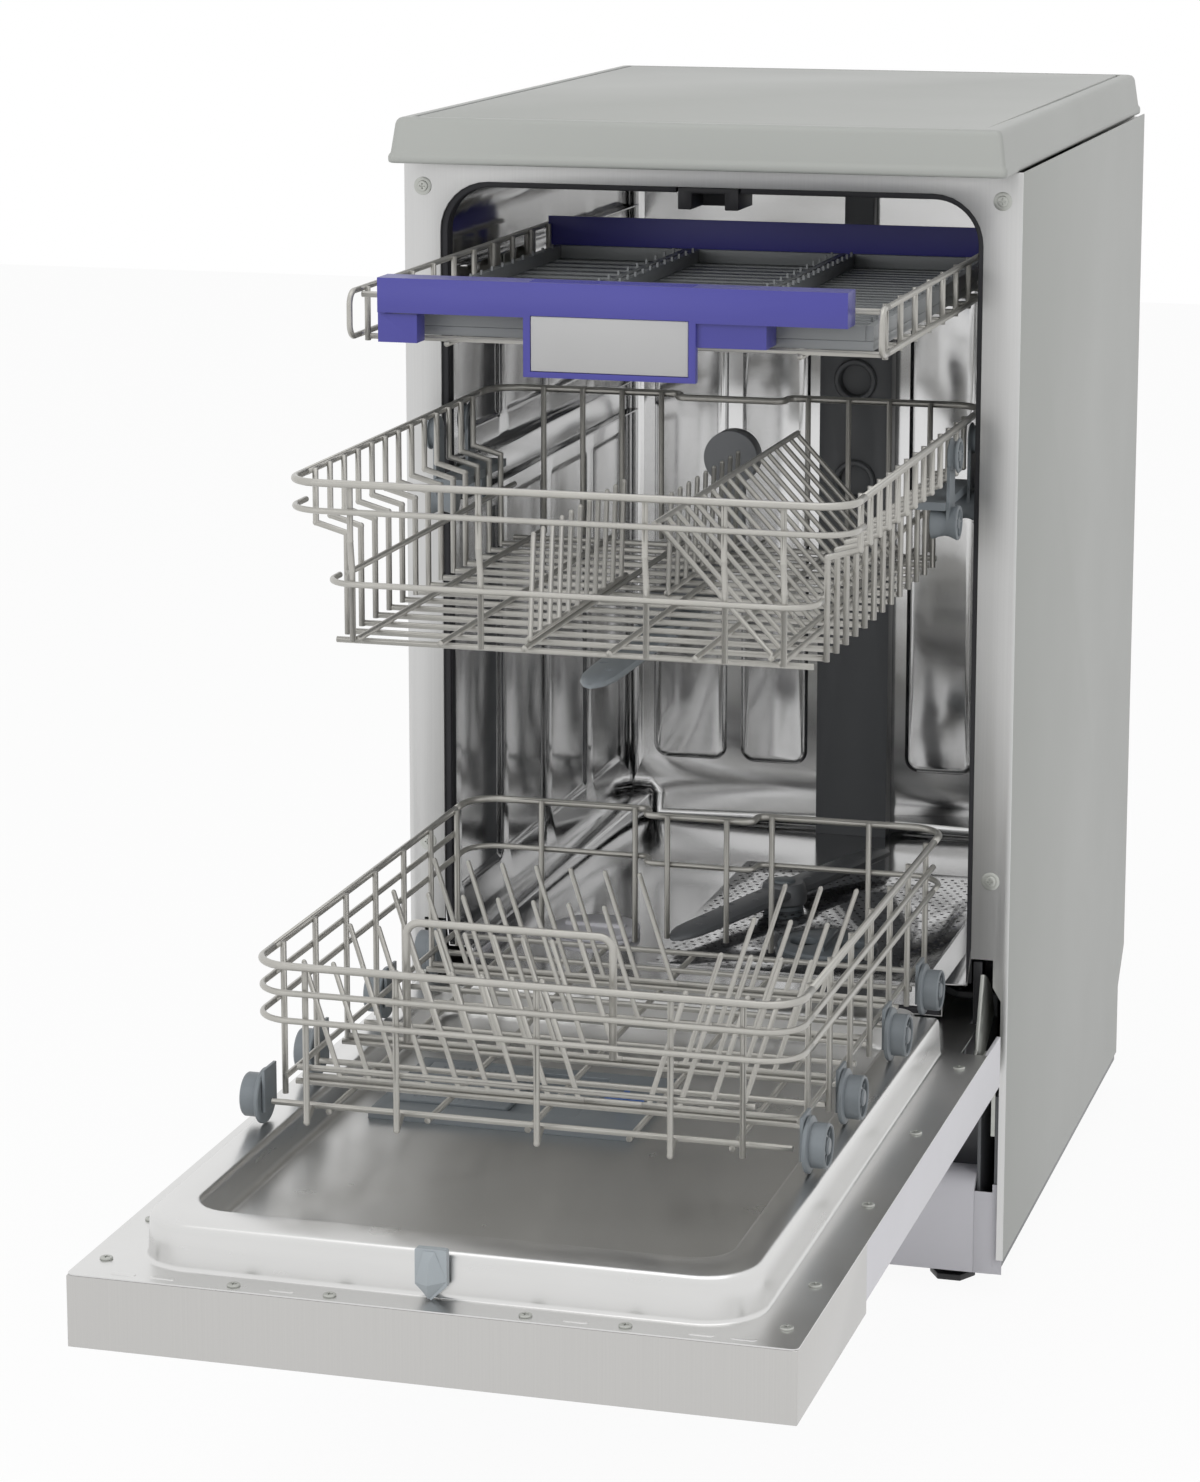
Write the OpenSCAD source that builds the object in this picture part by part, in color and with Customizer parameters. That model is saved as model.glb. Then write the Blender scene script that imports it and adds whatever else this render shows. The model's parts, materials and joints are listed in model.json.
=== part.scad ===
// Slimline dishwasher with a drop-down door, two wire baskets and a cutlery tray.
// Modelled in use: door open, baskets and tray drawn out.
// Origin on the floor under the middle of the model. +Z is up, the front faces -Y.

/* [Cabinet] */
// Width over the side panels
cab_w = 448; // [446:1:452]
// Depth from the closed door's face to the back
cab_d = 600; // [596:1:640]
// Height from the floor to the worktop
cab_h = 845; // [843:1:870]
// Thickness of the worktop
lid_t = 32; // [24:1:33]
// Thickness of the steel side panels
panel_t = 1; // [0.8:0.1:1.2]
// Height of the adjustable feet below the base
foot_h = 22; // [16:1:26]
// Radius of a foot's pad
foot_r = 17; // [12:1:20]
// Height of the plinth's top edge
plinth_top = 88; // [70:1:88]

/* [Tub] */
// Distance from a side panel's face to the tub's inner wall
wall_gap = 27; // [26.5:0.5:28]
// Height of the tub's basin floor
basin_z = 208; // [208:1:212]
// Height of the wheel ledges
ledge_z = 232; // [228:1:234]
// Thickness of the tub's sheet
tub_t = 1; // [0.8:0.1:1.2]
// Radius of the tub's upper corners
tub_r = 36; // [20:1:45]
// Thickness of the door gasket
gasket_t = 4.5; // [3:0.5:4.5]

/* [Door] */
// Thickness of the door
door_t = 46; // [44:1:46]
// Gap between the closed door and the front flange
door_gap = 2; // [2:0.5:4]
// Gap between the closed door's top edge and the worktop
lid_gap = 11; // [11:1:17]
// Height of the hinge axis
hinge_z = 180; // [180:1:184]
// Distance of the hinge axis behind the door's face
hinge_y = 22; // [20:1:24]
// Height of the control panel
fascia_h = 184; // [160:1:190]
// Radius of a button
button_r = 6; // [5:0.5:8]
// Travel of a button
button_travel = 2; // [1:0.5:3]
// Radius of the hinge pins
pin_r = 5; // [4:0.5:6]

/* [Baskets] */
// Length of the lower basket, front to back
low_len = 462; // [440:1:464]
// Front of the lower basket, drawn out
low_front = -410; // [-415:1:-400]
// Height of the lower basket's rim above the wheel ledges
low_h = 116; // [108:1:116]
// Length of the upper basket
up_len = 452; // [430:1:454]
// Front of the upper basket, drawn out
up_front = -315; // [-320:1:-305]
// Distance of the upper basket's rim below the tub's ceiling
up_drop = 157; // [155:1:161]
// Depth of the upper basket below its rim
up_deep = 110; // [108:1:112]
// Thickness of the basket wires
wire_d = 4; // [3.5:0.1:4.2]
// Thickness of the rim wires
rim_d = 5; // [4.5:0.1:5.2]
// Radius of the lower basket's wheels
wheel_r = 18; // [16:0.5:18]
// Half of the length of the spray arms
arm_r = 160; // [130:1:165]

/* [Cutlery tray] */
// Front of the tray, drawn out
tray_front = -205; // [-210:1:-200]
// Length of the tray
tray_len = 466; // [440:1:468]
// Distance of the tray's top wires below the tub's ceiling
tray_drop = 49; // [47:1:53]
// Width of the plate under the tray's handle
plate_w = 106; // [90:1:130]
// Height of that plate
plate_h = 36; // [30:1:52]

/* [Hidden] */
gap = 0.3;
weld = 0.7;
clip = 0.2;
washer_t = 0.6;
screw_head = 1.5;
half_w = cab_w / 2;
flange_y = door_t + door_gap;
frame_t = 1.2;
tub_y = flange_y + frame_t;
tub_back = cab_d - 42;
tub_x = half_w - wall_gap;
span = tub_x / 197;
tub_top = cab_h - lid_t - 16;
basin_x = tub_x - 21;
panel_in = half_w - panel_t;
lid_z = cab_h - lid_t;
door_top = lid_z - lid_gap;
seal_x = tub_x - gasket_t;
door_x = half_w - 0.5;
liner_x = seal_x - 1;
liner_y = door_t - 1;
liner_lo = basin_z + 8;
liner_hi = tub_top - 17;
ledge_up = ledge_z - hinge_z + hinge_y;
recess_x = liner_x - 26;
recess_up = door_t + 7;
skin_y = 8;
fascia_z = door_top - fascia_h;
low_rim = ledge_z + low_h;
up_rim = tub_top - up_drop;
up_floor = up_rim - up_deep;
tray_z = tub_top - tray_drop;
tail_x = tub_x + 2;
tail_lo = hinge_z - 88;
wide_lo = hinge_z - 4.5;
pocket_y = hinge_y + 94;
arm_in = tub_x + 9;
arm_t = 2.5;
brk_in = arm_in + 7;
brk_t = 3;
step_in = rim_d / 2 + wire_d / 2 - weld;
low_x = tub_x - 24.5;
low_back = low_front + low_len;
low_rx = low_x + step_in;
low_fy = low_front + rim_d / 2;
low_by = low_back - rim_d / 2;
low_turn = 40;
low_floor = 252;
low_rods = [for (i = [0:9]) low_front + 20.5 + i * (low_len - 59) / 9];
wheel_z = ledge_z + wheel_r + gap;
wheel_x = low_x + wire_d / 2 + 2.8;
wheel_w = seal_x - 1.2 - wheel_x;
axle_r = 4;
wheel_y = [low_front + 30, low_front + 130, low_front + 270, low_front + 380];
up_x = tub_x - 16;
up_in = up_x - 21;
up_step = up_rim - 40;
up_rx = up_x + step_in;
up_fy = up_front + rim_d / 2;
up_back = up_front + up_len;
up_by = up_back - rim_d / 2;
up_mid = up_front + 225;
up_wheel_z = up_rim - 65;
ports = [up_floor - 20, up_wheel_z + 19];
up_wheel_r = 12;
slide_len = 70;
rail_x = tub_x - 11;
tray_back = tray_front + tray_len;
tray_x = tub_x - 18;
tray_floor = tray_z - 36;
tray_wheel_z = tray_z - 23;
tray_wheel_r = 7;
duct_w = 60;
duct_t = 18;
hub_x = 0;
hub_y = 300;
sump = [-62 * span, 146 * span, 120, 430];
cup_x = 58 * span;
cup_y = 200;
cup_r = 38;
cup_lo = 134;
post_r = 9;
salt_x = -122 * span;
salt_y = 190;
salt_r = 30;
base_x = half_w - 8;
inlet_x = -160;
inlet_z = 55;
inlet_r = 13;
button_x = [-150 * span, -60 * span, 60 * span];
lens_x = [100 * span, 100 * span + 60];
button_z = door_top - 60;
disp_x = -50 * span;
disp_z = hinge_z + 255;
disp_w = 180;
disp_h = 120;

steel = [0.72, 0.73, 0.72];
polished = [0.78, 0.79, 0.8];
panel_grey = [0.65, 0.66, 0.64];
wire_grey = [0.66, 0.66, 0.63];
dark_grey = [0.25, 0.27, 0.29];
mid_grey = [0.5, 0.53, 0.55];
violet = [0.33, 0.32, 0.66];
white = [0.86, 0.86, 0.89];
black = [0.06, 0.06, 0.07];
zinc = [0.72, 0.75, 0.68];

// ---------- helpers ----------

// Puts a piece drawn on the closed door where the open door holds it.
module on_door() {
    translate([0, hinge_y, hinge_z]) rotate([90, 0, 0]) translate([0, -hinge_y, -hinge_z]) children();
}

// A piece and its mirror image on the other side.
module both_sides() {
    children();
    mirror([1, 0, 0]) children();
}

// A box between two corners.
module block(lo, hi) {
    translate(lo) cube(hi - lo);
}

// A straight round wire from a to b.
module rod(a, b, d) {
    v = b - a;
    translate(a) rotate([0, acos(v.z / norm(v)), atan2(v.y, v.x)]) cylinder(d = d, h = norm(v), $fn = 24);
}

function unit(v) = v / norm(v);

// A quarter or other part of a ring that joins two straight stretches at corner p.
module bend(p, u, v, r, d) {
    turn = acos(u * v);
    n = unit(cross(u, v));
    side = cross(n, u);
    c = p - u * r * tan(turn / 2) + side * r;
    multmatrix([[-side.x, u.x, n.x, c.x], [-side.y, u.y, n.y, c.y], [-side.z, u.z, n.z, c.z]])
        rotate_extrude(angle = turn, $fn = 48) translate([r, 0]) circle(d = d, $fn = 24);
}

// A round wire along points, with bends of radius r, or of the radii in the list r.
module wire(p, d = wire_d, r = 8) {
    last = len(p) - 1;
    radius = [for (i = [0:last]) is_list(r) ? r[i] : r];
    dir = [for (i = [0:last - 1]) unit(p[i + 1] - p[i])];
    cut = [for (i = [0:last]) i == 0 || i == last ? 0 : radius[i] * tan(acos(dir[i - 1] * dir[i]) / 2)];
    for (i = [0:last - 1]) rod(p[i] + dir[i] * cut[i], p[i + 1] - dir[i] * cut[i + 1], d);
    for (i = [1:1:last - 1]) bend(p[i], dir[i - 1], dir[i], radius[i], d);
}

// A thin wire along points with sharp bends, each rounded off by a ball a little wider than the wire.
module kinked(p, d = wire_d) {
    last = len(p) - 1;
    for (i = [0:last - 1]) rod(p[i], p[i + 1], d);
    for (i = [1:1:last - 1]) translate(p[i]) sphere(d = d + 0.4, $fn = 32);
}

// A cylinder along X.
module xcyl(x0, x1, y, z, r, fn = 48) {
    translate([x0, y, z]) rotate([0, 90, 0]) cylinder(r = r, h = x1 - x0, $fn = fn);
}

// A cylinder along Y.
module ycyl(x, y0, y1, z, r, fn = 48) {
    translate([x, y0, z]) rotate([-90, 0, 0]) cylinder(r = r, h = y1 - y0, $fn = fn);
}

// Points of an arc.
function arc(cx, cy, r, a0, a1, n = 8) =
    [for (i = [0:n]) let (a = a0 + (a1 - a0) * i / n) [cx + r * cos(a), cy + r * sin(a)]];

// Section of the tub, grown outwards by g: basin, wheel ledges, walls and rounded ceiling.
function tub_section(g = 0) = concat(
    [[-basin_x - g, basin_z - g], [basin_x + g, basin_z - g], [basin_x + g, ledge_z - g]],
    [[tub_x + g, ledge_z - g]],
    arc(tub_x + g - tub_r, tub_top + g - tub_r, tub_r, 0, 90),
    arc(-tub_x - g + tub_r, tub_top + g - tub_r, tub_r, 90, 180),
    [[-tub_x - g, ledge_z - g], [-basin_x - g, ledge_z - g]]
);

// A section in X and Z pulled along Y.
module along_y(y0, y1) {
    translate([0, y1, 0]) rotate([90, 0, 0]) linear_extrude(y1 - y0) children();
}

// A rectangle with rounded corners, centred, as points.
function round_rect(w, h, r) = concat(
    arc(w / 2 - r, h / 2 - r, r, 0, 90), arc(-w / 2 + r, h / 2 - r, r, 90, 180),
    arc(-w / 2 + r, -h / 2 + r, r, 180, 270), arc(w / 2 - r, -h / 2 + r, r, 270, 360)
);

// ---------- cabinet ----------

module base_tray() {
    lo = foot_h;
    color(dark_grey) difference() {
        union() {
            block([-panel_in + gap, flange_y + 12, lo], [panel_in - gap, cab_d - 30, lo + 3]);
            both_sides() {
                block([base_x, flange_y + 4, lo], [panel_in - gap, cab_d - 30, 150]);
                block([tail_x + 3, flange_y + 12, lo], [tail_x + 5.5, pocket_y, 190]);
            }
            block([-tail_x - 5.5, pocket_y, lo], [tail_x + 5.5, pocket_y + 3, basin_z - tub_t]);
            block([-base_x, cab_d - 33, lo], [base_x, cab_d - 30, 112]);
        }
        for (s = [-1, 1]) for (y = [flange_y + 40, cab_d - 70])
            translate([s * 180, y, lo - 1]) cylinder(r = 5.2, h = 5, $fn = 48);
        ycyl(inlet_x, cab_d - 34, cab_d - 29, inlet_z, 10.2);
    }
}

module side_panel() {
    back = cab_d;
    outline = [[tub_y, 28], [back - 28, 28], [back - 28, 86], [back, 115], [back, lid_z], [tub_y, lid_z]];
    color(panel_grey) translate([panel_in, 0, 0]) rotate([90, 0, 90])
        linear_extrude(panel_t) polygon(outline);
}

module side_panel_left() mirror([1, 0, 0]) side_panel();

module side_panel_right() side_panel();

module worktop() {
    slope = 5;
    x0 = half_w - 3;
    top = cab_h;
    color(panel_grey) difference() {
        intersection() {
            translate([-half_w, 0, 0]) rotate([90, 0, 90]) linear_extrude(cab_w)
                polygon([[0, lid_z], [cab_d, lid_z], [cab_d, top - 3], [cab_d - slope, top], [slope + 3, top],
                    [slope, top - 3]]);
            along_y(-1, cab_d + 1)
                polygon([[-x0, lid_z], [x0, lid_z], [x0 - slope, top - 3], [x0 - slope - 3, top],
                    [-x0 + slope + 3, top], [-x0 + slope, top - 3]]);
        }
        block([-x0 + 16, 26, top - 1.5], [-x0 + 19, cab_d - 18, top + 1]);
        block([-x0 + 19 - 0.01, cab_d - 21, top - 1.5], [x0 - 16, cab_d - 18, top + 1]);
    }
}

module rear_panel() {
    color(steel) difference() {
        block([-panel_in + gap, cab_d - 30, 118], [panel_in - gap, cab_d - 29, lid_z]);
        for (x = [-120, 0, 120]) block([x - 35, cab_d - 31, 700], [x + 35, cab_d - 28, 706]);
    }
}

module front_frame() {
    strip = half_w - 5;
    slot_top = hinge_z + 72;
    color(steel) along_y(flange_y, tub_y) difference() {
        polygon([[-half_w, 28], [half_w, 28], [half_w, lid_z], [-half_w, lid_z]]);
        polygon(concat([[-tub_x, 27], [tub_x, 27]],
            arc(tub_x - tub_r, tub_top - tub_r, tub_r, 0, 90),
            arc(-tub_x + tub_r, tub_top - tub_r, tub_r, 90, 180)));
        for (s = [-1, 1]) polygon([[s * (tub_x - 1), 27], [s * strip, 27], [s * strip, slot_top - 30],
            [s * (strip - 6), slot_top - 20], [s * (strip - 6), slot_top], [s * (tub_x - 1), slot_top]]);
    }
}

module tub() {
    color(polished) difference() {
        along_y(tub_y, tub_back + tub_t) polygon(tub_section(tub_t));
        along_y(tub_y - 1, tub_back) polygon(tub_section());
        block([sump[0] + 8, sump[2] + 8, basin_z - 5], [sump[1] - 8, sump[3] - 8, basin_z + 1]);
        translate([salt_x, salt_y, basin_z - 5]) cylinder(r = salt_r + 4.2, h = 8, $fn = 64);
    }
}

module door_gasket() {
    y0 = tub_y + 2;
    y1 = y0 + 14;
    r = tub_r - gasket_t;
    color(black) {
        along_y(y0, y1) difference() {
            polygon(concat([[-tub_x, ledge_z + 1], [tub_x, ledge_z + 1]],
                arc(tub_x - tub_r, tub_top - tub_r, tub_r, 0, 90),
                arc(-tub_x + tub_r, tub_top - tub_r, tub_r, 90, 180)));
            polygon(concat([[-seal_x, ledge_z], [seal_x, ledge_z]],
                arc(seal_x - r, tub_top - gasket_t - r, r, 0, 90),
                arc(-seal_x + r, tub_top - gasket_t - r, r, 90, 180)));
            translate([-23, tub_top - 12]) square([46, 14]);
        }
        block([-basin_x + 2, y0, basin_z], [basin_x - 2, y0 + 8, basin_z + 3]);
    }
}

module plinth() {
    y0 = flange_y + 3;
    front = [[y0, 16], [y0 + 3, 16], [y0 + 3, plinth_top - 12], [y0 + 12, plinth_top - 3],
        [y0 + 30, plinth_top - 3], [y0 + 30, plinth_top], [y0 + 10, plinth_top], [y0 + 4, plinth_top - 4],
        [y0, plinth_top - 10]];
    x = tail_x + 2.7;
    color(white) translate([-x, 0, 0]) rotate([90, 0, 90]) linear_extrude(2 * x) polygon(front);
    color(white) both_sides() block([x + 0.01, y0, 16], [base_x - 0.5, y0 + 0.99, plinth_top - 10]);
}

module feed_duct() {
    y0 = tub_back - duct_t;
    color(dark_grey) difference() {
        union() {
            block([-duct_w / 2, y0, basin_z], [duct_w / 2, tub_back, up_rim + 10]);
            block([-12, tub_back - 12, up_rim + 10], [12, tub_back, tub_top]);
        }
        for (z = ports) ycyl(0, y0 - 1, y0 + 8, z, 13);
    }
}

module sump() {
    z0 = 128;
    top = basin_z - tub_t;
    color(mid_grey) {
        difference() {
            block([sump[0], sump[2], z0], [sump[1], sump[3], top]);
            block([sump[0] + 3, sump[2] + 3, z0 + 3], [sump[1] - 3, sump[3] - 3, top + 1]);
        }
        translate([hub_x, hub_y, z0 + 3]) cylinder(r = 15, h = basin_z + 5 - z0 - 3, $fn = 48);
        translate([hub_x, hub_y, basin_z + 5]) cylinder(r = post_r, h = 19, $fn = 48);
        translate([cup_x, cup_y, z0 + 3]) cylinder(r = 30, h = cup_lo - gap - z0 - 3, $fn = 48);
    }
}

module filter_plate() {
    color(polished) difference() {
        block([sump[0], sump[2], basin_z], [sump[1], sump[3], basin_z + 1.5]);
        translate([hub_x, hub_y, basin_z - 1]) cylinder(r = 15 + gap, h = 4, $fn = 48);
        translate([cup_x, cup_y, basin_z - 1]) cylinder(r = cup_r + gap, h = 4, $fn = 64);
    }
}

module filter_cup() {
    color(mid_grey) translate([cup_x, cup_y, 0]) difference() {
        union() {
            translate([0, 0, cup_lo]) cylinder(r = cup_r, h = basin_z + 4 - cup_lo, $fn = 64);
            block([-3, -26, basin_z + 4], [3, 26, basin_z + 8]);
        }
        translate([0, 0, cup_lo + 3]) cylinder(r = cup_r - 3, h = basin_z - cup_lo - 5, $fn = 64);
        for (s = [-1, 1]) translate([s * 18, 0, basin_z - 3]) cylinder(r = 11, h = 10, $fn = 48);
    }
}

module circulation_pump() {
    x = 40;
    y = 470;
    z = 75;
    color(dark_grey) {
        translate([x, y, z - 40]) cylinder(r = 46, h = 60, $fn = 64);
        translate([x, y, z + 20]) cylinder(r = 38, h = 30, $fn = 64);
        block([x - 20, sump[3], 134], [x + 20, y, 160]);
        translate([x, y, z + 50]) cylinder(r = 20, h = 35, $fn = 48);
        block([x - 30, y - 30, foot_h + 3], [x + 30, y + 30, z - 40]);
    }
}

module drain_pump() {
    color(black) {
        ycyl(60, 60 + sump[2] + 20, 60 + sump[2] + 90, 96, 28);
        translate([60, 230, 96]) cylinder(r = 14, h = 32, $fn = 48);
        block([40, 210, foot_h + 3], [80, 260, 70]);
    }
}

module inlet_valve() {
    wall = cab_d - 33;
    color(white) difference() {
        union() {
            block([inlet_x - 30, cab_d - 90, foot_h + 3], [inlet_x + 30, wall, 80]);
            ycyl(inlet_x, wall - 1, cab_d - 29, inlet_z, 10);
            ycyl(inlet_x, cab_d - 30, cab_d - 12, inlet_z, inlet_r);
        }
        ycyl(inlet_x, cab_d - 50, cab_d - 11, inlet_z, 7);
    }
}

module salt_container() {
    z0 = 110;
    x0 = -196 * span;
    x1 = -68 * span;
    color(white) {
        difference() {
            union() {
                block([x0, 130, z0], [x1, 300, basin_z - 8]);
                translate([salt_x, salt_y, basin_z - 8]) cylinder(r = salt_r + 4, h = 10, $fn = 64);
            }
            block([x0 + 3, 133, z0 + 3], [x1 - 3, 297, basin_z - 11]);
            translate([salt_x, salt_y, z0 + 20]) cylinder(r = salt_r, h = 200, $fn = 64);
        }
        block([x0 + 6, 140, foot_h + 3], [x1 - 7, 290, z0]);
    }
}

module salt_cap() {
    color(white) {
        translate([salt_x, salt_y, basin_z + 2 + gap]) cylinder(r = salt_r + 4, h = 4, $fn = 64);
        translate([salt_x, salt_y, basin_z - 6]) cylinder(r = salt_r - gap, h = 8 + gap, $fn = 64);
        block([salt_x - 24, salt_y - 4, basin_z + 6 + gap], [salt_x + 24, salt_y + 4, basin_z + 9 + gap]);
    }
}

module counterweight() {
    color(dark_grey) for (x = [-118 * span, 100 * span])
        block([x, sump[3] + 12, foot_h + 3], [x + 104 * span, cab_d - 33, 115]);
}

module feet() {
    color(black) for (s = [-1, 1]) for (y = [flange_y + 40, cab_d - 70]) translate([s * 180, y, 0]) {
        cylinder(r = foot_r, h = 5, $fn = 6);
        translate([0, 0, 5]) cylinder(r = 5, h = foot_h + 3 - clip - 5, $fn = 48);
        translate([0, 0, 5]) cylinder(r = 10, h = foot_h - 5, $fn = 48);
    }
}

module latch_receiver() {
    y0 = tub_y + 1;
    lo = liner_hi + 1;
    color(black) difference() {
        block([-22, y0, lo], [22, y0 + 42, tub_top]);
        block([-12, y0 - 1, lo - 1], [12, y0 + 32, lo + 11.5]);
    }
}

// One cross-head screw with a washer, head towards -Y.
module screw_y(x, y, z, r = 5) {
    ycyl(x, y - washer_t, y, z, r + 1.5, 32);
    difference() {
        ycyl(x, y - screw_head, y - washer_t, z, r - 1, 32);
        for (a = [0, 90]) translate([x, y - screw_head, z]) rotate([0, a, 0]) cube([5, 1, 1], center = true);
    }
}

module frame_screws() {
    x = half_w - 14;
    color(zinc) for (s = [-1, 1]) for (z = [310, lid_z - 20]) screw_y(s * x, flange_y, z);
}

module hinge_brackets() {
    x = brk_in;
    color(zinc) both_sides() {
        difference() {
            union() {
                xcyl(x, x + brk_t, hinge_y, hinge_z, 12.4);
                block([x, hinge_y, hinge_z - 12.4], [x + brk_t, flange_y + 8, hinge_z + 4]);
                block([x, flange_y + 4, hinge_z - 60], [x + brk_t - gap / 3, pocket_y + 40, hinge_z + 4]);
            }
            xcyl(x - 1, x + brk_t - 1.2, hinge_y, hinge_z, pin_r - 0.5);
        }
        xcyl(arm_in - 3, x + 0.01, hinge_y, hinge_z, pin_r);
    }
}

module hinge_covers() {
    x = tub_x + 1.5;
    color(black) both_sides() difference() {
        block([x, tub_y, hinge_z + 16], [arm_in - 0.8, tub_y + 12, hinge_z + 70]);
        block([x + 2, tub_y + 2, hinge_z + 18], [arm_in, tub_y + 10, hinge_z + 68]);
    }
}

// Runner channel on the tub's wall: inner height 2 h around z, from y0 to y1.
module channel(z, h, y0, y1) {
    block([tub_x - 1.5, y0, z - h - 1.5], [tub_x, y1, z + h + 1.5]);
    for (e = [z + h, z - h - 1.5]) block([rail_x + 1, y0, e], [tub_x - 1.49, y1, e + 1.5]);
}

module tub_rails() {
    color(steel) both_sides() {
        channel(up_wheel_z, up_wheel_r + gap, tub_y + 30, tub_back - 12);
        channel(tray_wheel_z, tray_wheel_r + gap, tub_y + 30, tub_back - 12);
    }
}

module upper_slides() {
    h = up_wheel_r - 0.5;
    color(zinc) both_sides()
        block([tub_x - 3.5, up_back - slide_len, up_wheel_z - h],
            [tub_x - 1.5 - gap, up_back, up_wheel_z + h]);
}

module tray_slides() {
    h = tray_wheel_r - 0.5;
    color(zinc) both_sides()
        block([tub_x - 3.5, tray_back - slide_len, tray_wheel_z - h],
            [tub_x - 1.5 - gap, tray_back, tray_wheel_z + h]);
}

module door_springs() {
    x = (tail_x + 5.5 + base_x) / 2;
    y = 210;
    z = foot_h + 34;
    color(zinc) both_sides() {
        for (i = [0:11]) ycyl(x, y + i * 11, y + i * 11 + 10, z, 4.6, 24);
        ycyl(x, y - 40, y + 132 + 25, z, 1.6, 24);
        block([x - 4.6, y + 132 + 25, foot_h + 3], [x + 4.6, y + 132 + 30, z + 5]);
        block([x - 4.6, y - 45, foot_h + 3], [x + 4.6, y - 40, z + 5]);
    }
}

// Flat blade spray arm with a hub, about the Z axis through its middle; z is the blade's underside.
module spray_arm(r, z, hub_r, hub_lo, hub_hi, bore) {
    difference() {
        union() {
            translate([0, 0, hub_lo]) cylinder(r = hub_r, h = hub_hi - hub_lo, $fn = 48);
            block([-r + 14, -14, z], [r - 14, 14, z + 9]);
            for (s = [-1, 1]) translate([s * (r - 14), 0, z]) cylinder(r = 14, h = 9, $fn = 48);
        }
        translate([0, 0, hub_lo - 1]) cylinder(r = bore, h = hub_hi - hub_lo + 2, $fn = 48);
        for (i = [1:5]) for (s = [-1, 1])
            translate([s * (28 + i * 20), s * (i % 2 ? 5 : -5), z + 6]) cylinder(r = 1.6, h = 4, $fn = 24);
    }
}

module lower_spray_arm() {
    color(dark_grey) translate([hub_x, hub_y, 0]) rotate(72)
        spray_arm(arm_r, basin_z + 11, 18, basin_z + 5 + gap, basin_z + 22, post_r + 0.05);
}

// ---------- door ----------

// Outline of the liner's raised rim, drawn in by t. Its lower end passes between the wheel ledges.
function rim_outline(t) = concat(
    [[2 + t - basin_x, liner_lo + t], [basin_x - 2 - t, liner_lo + t], [basin_x - 2 - t, ledge_z + 1 + t],
        [liner_x - t, ledge_z + 1 + t]],
    arc(liner_x - 36, liner_hi - 36, 36 - t, 0, 90), arc(36 - liner_x, liner_hi - 36, 36 - t, 90, 180),
    [[t - liner_x, ledge_z + 1 + t], [2 + t - basin_x, ledge_z + 1 + t]]);

module door_panel() {
    color(white) on_door() {
        difference() {
            block([-door_x, skin_y, wide_lo], [door_x, liner_y, fascia_z]);
            block([-door_x + 3, skin_y + 1.2, wide_lo - 1], [door_x - 3, door_t, fascia_z - 3]);
        }
        difference() {
            block([-tail_x + 0.5, skin_y, tail_lo], [tail_x - 0.5, liner_y, wide_lo - 0.001]);
            block([-tail_x + 2, skin_y + 1.2, tail_lo + 2], [tail_x - 2, door_t, wide_lo + 1]);
        }
    }
}

module door_liner() {
    notch = hinge_z + 46;
    color(polished) on_door() difference() {
        union() {
            block([-door_x, liner_y, notch], [door_x, door_t, door_top]);
            block([-tub_x, liner_y, tail_lo], [tub_x, door_t, notch]);
            along_y(liner_y, ledge_up) polygon(rim_outline(0));
        }
        along_y(liner_y - 1, ledge_up - 1) difference() {
            polygon(rim_outline(1));
            translate([0, (liner_lo + liner_hi) / 2])
                polygon(round_rect(2 * recess_x + 2, liner_hi - liner_lo - 70, 30));
        }
        along_y(recess_up, ledge_up + 1) translate([0, (liner_lo + liner_hi) / 2])
            polygon(round_rect(2 * recess_x, liner_hi - liner_lo - 72, 29));
        along_y(liner_y - 1, recess_up - 1) translate([0, (liner_lo + liner_hi) / 2])
            polygon(round_rect(2 * recess_x + 2, liner_hi - liner_lo - 70, 30));
        block([disp_x - disp_w / 2 - gap, liner_y - 2, disp_z - disp_h / 2 - gap],
            [disp_x + disp_w / 2 + gap, ledge_up + 1, disp_z + disp_h / 2 + gap]);
    }
}

module control_panel() {
    color(steel) on_door() difference() {
        block([-door_x, 0, fascia_z], [door_x, liner_y, door_top]);
        block([-door_x + 3, 5, fascia_z + 3], [door_x - 3, door_t, door_top - 3]);
        for (x = button_x) ycyl(x, -1, 6, button_z, button_r + gap);
        block([lens_x[0], -1, button_z - 13], [lens_x[1], 6, button_z + 13]);
        block([-95, -1, fascia_z + 40], [95, 6, fascia_z + 80]);
    }
    color(steel) on_door() difference() {
        block([-98, 5, fascia_z + 37], [98, 30, fascia_z + 83]);
        block([-95, 4, fascia_z + 40], [95, 27, fascia_z + 80]);
    }
}

module control_board() {
    y = 18;
    color([0.1, 0.3, 0.18]) on_door() {
        block([-180 * span, y, button_z - 25], [180 * span, y + 1.6, button_z + 25]);
        for (x = button_x) block([x - 3, 12 + button_travel + gap, button_z - 3], [x + 3, y, button_z + 3]);
        block([lens_x[0] + 2, 9, button_z - 12], [lens_x[1] - 2, y, button_z + 12]);
        for (x = [-170 * span, 170 * span]) ycyl(x, 5, y, button_z, 4);
    }
}

module display_window() {
    slack = gap / 2;
    color(black) on_door() block([lens_x[0] + slack, 0.4, button_z - 13 + slack],
        [lens_x[1] - slack, 4, button_z + 13 - slack]);
}

module button(i) {
    on_door() {
        ycyl(button_x[i], 0, 12, button_z, button_r);
        ycyl(button_x[i], 5 + gap, 6.5, button_z, button_r + 1.5);
    }
}

module button_power() color(mid_grey) button(0);

module button_program() color(mid_grey) button(1);

module button_start() color(mid_grey) button(2);

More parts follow.
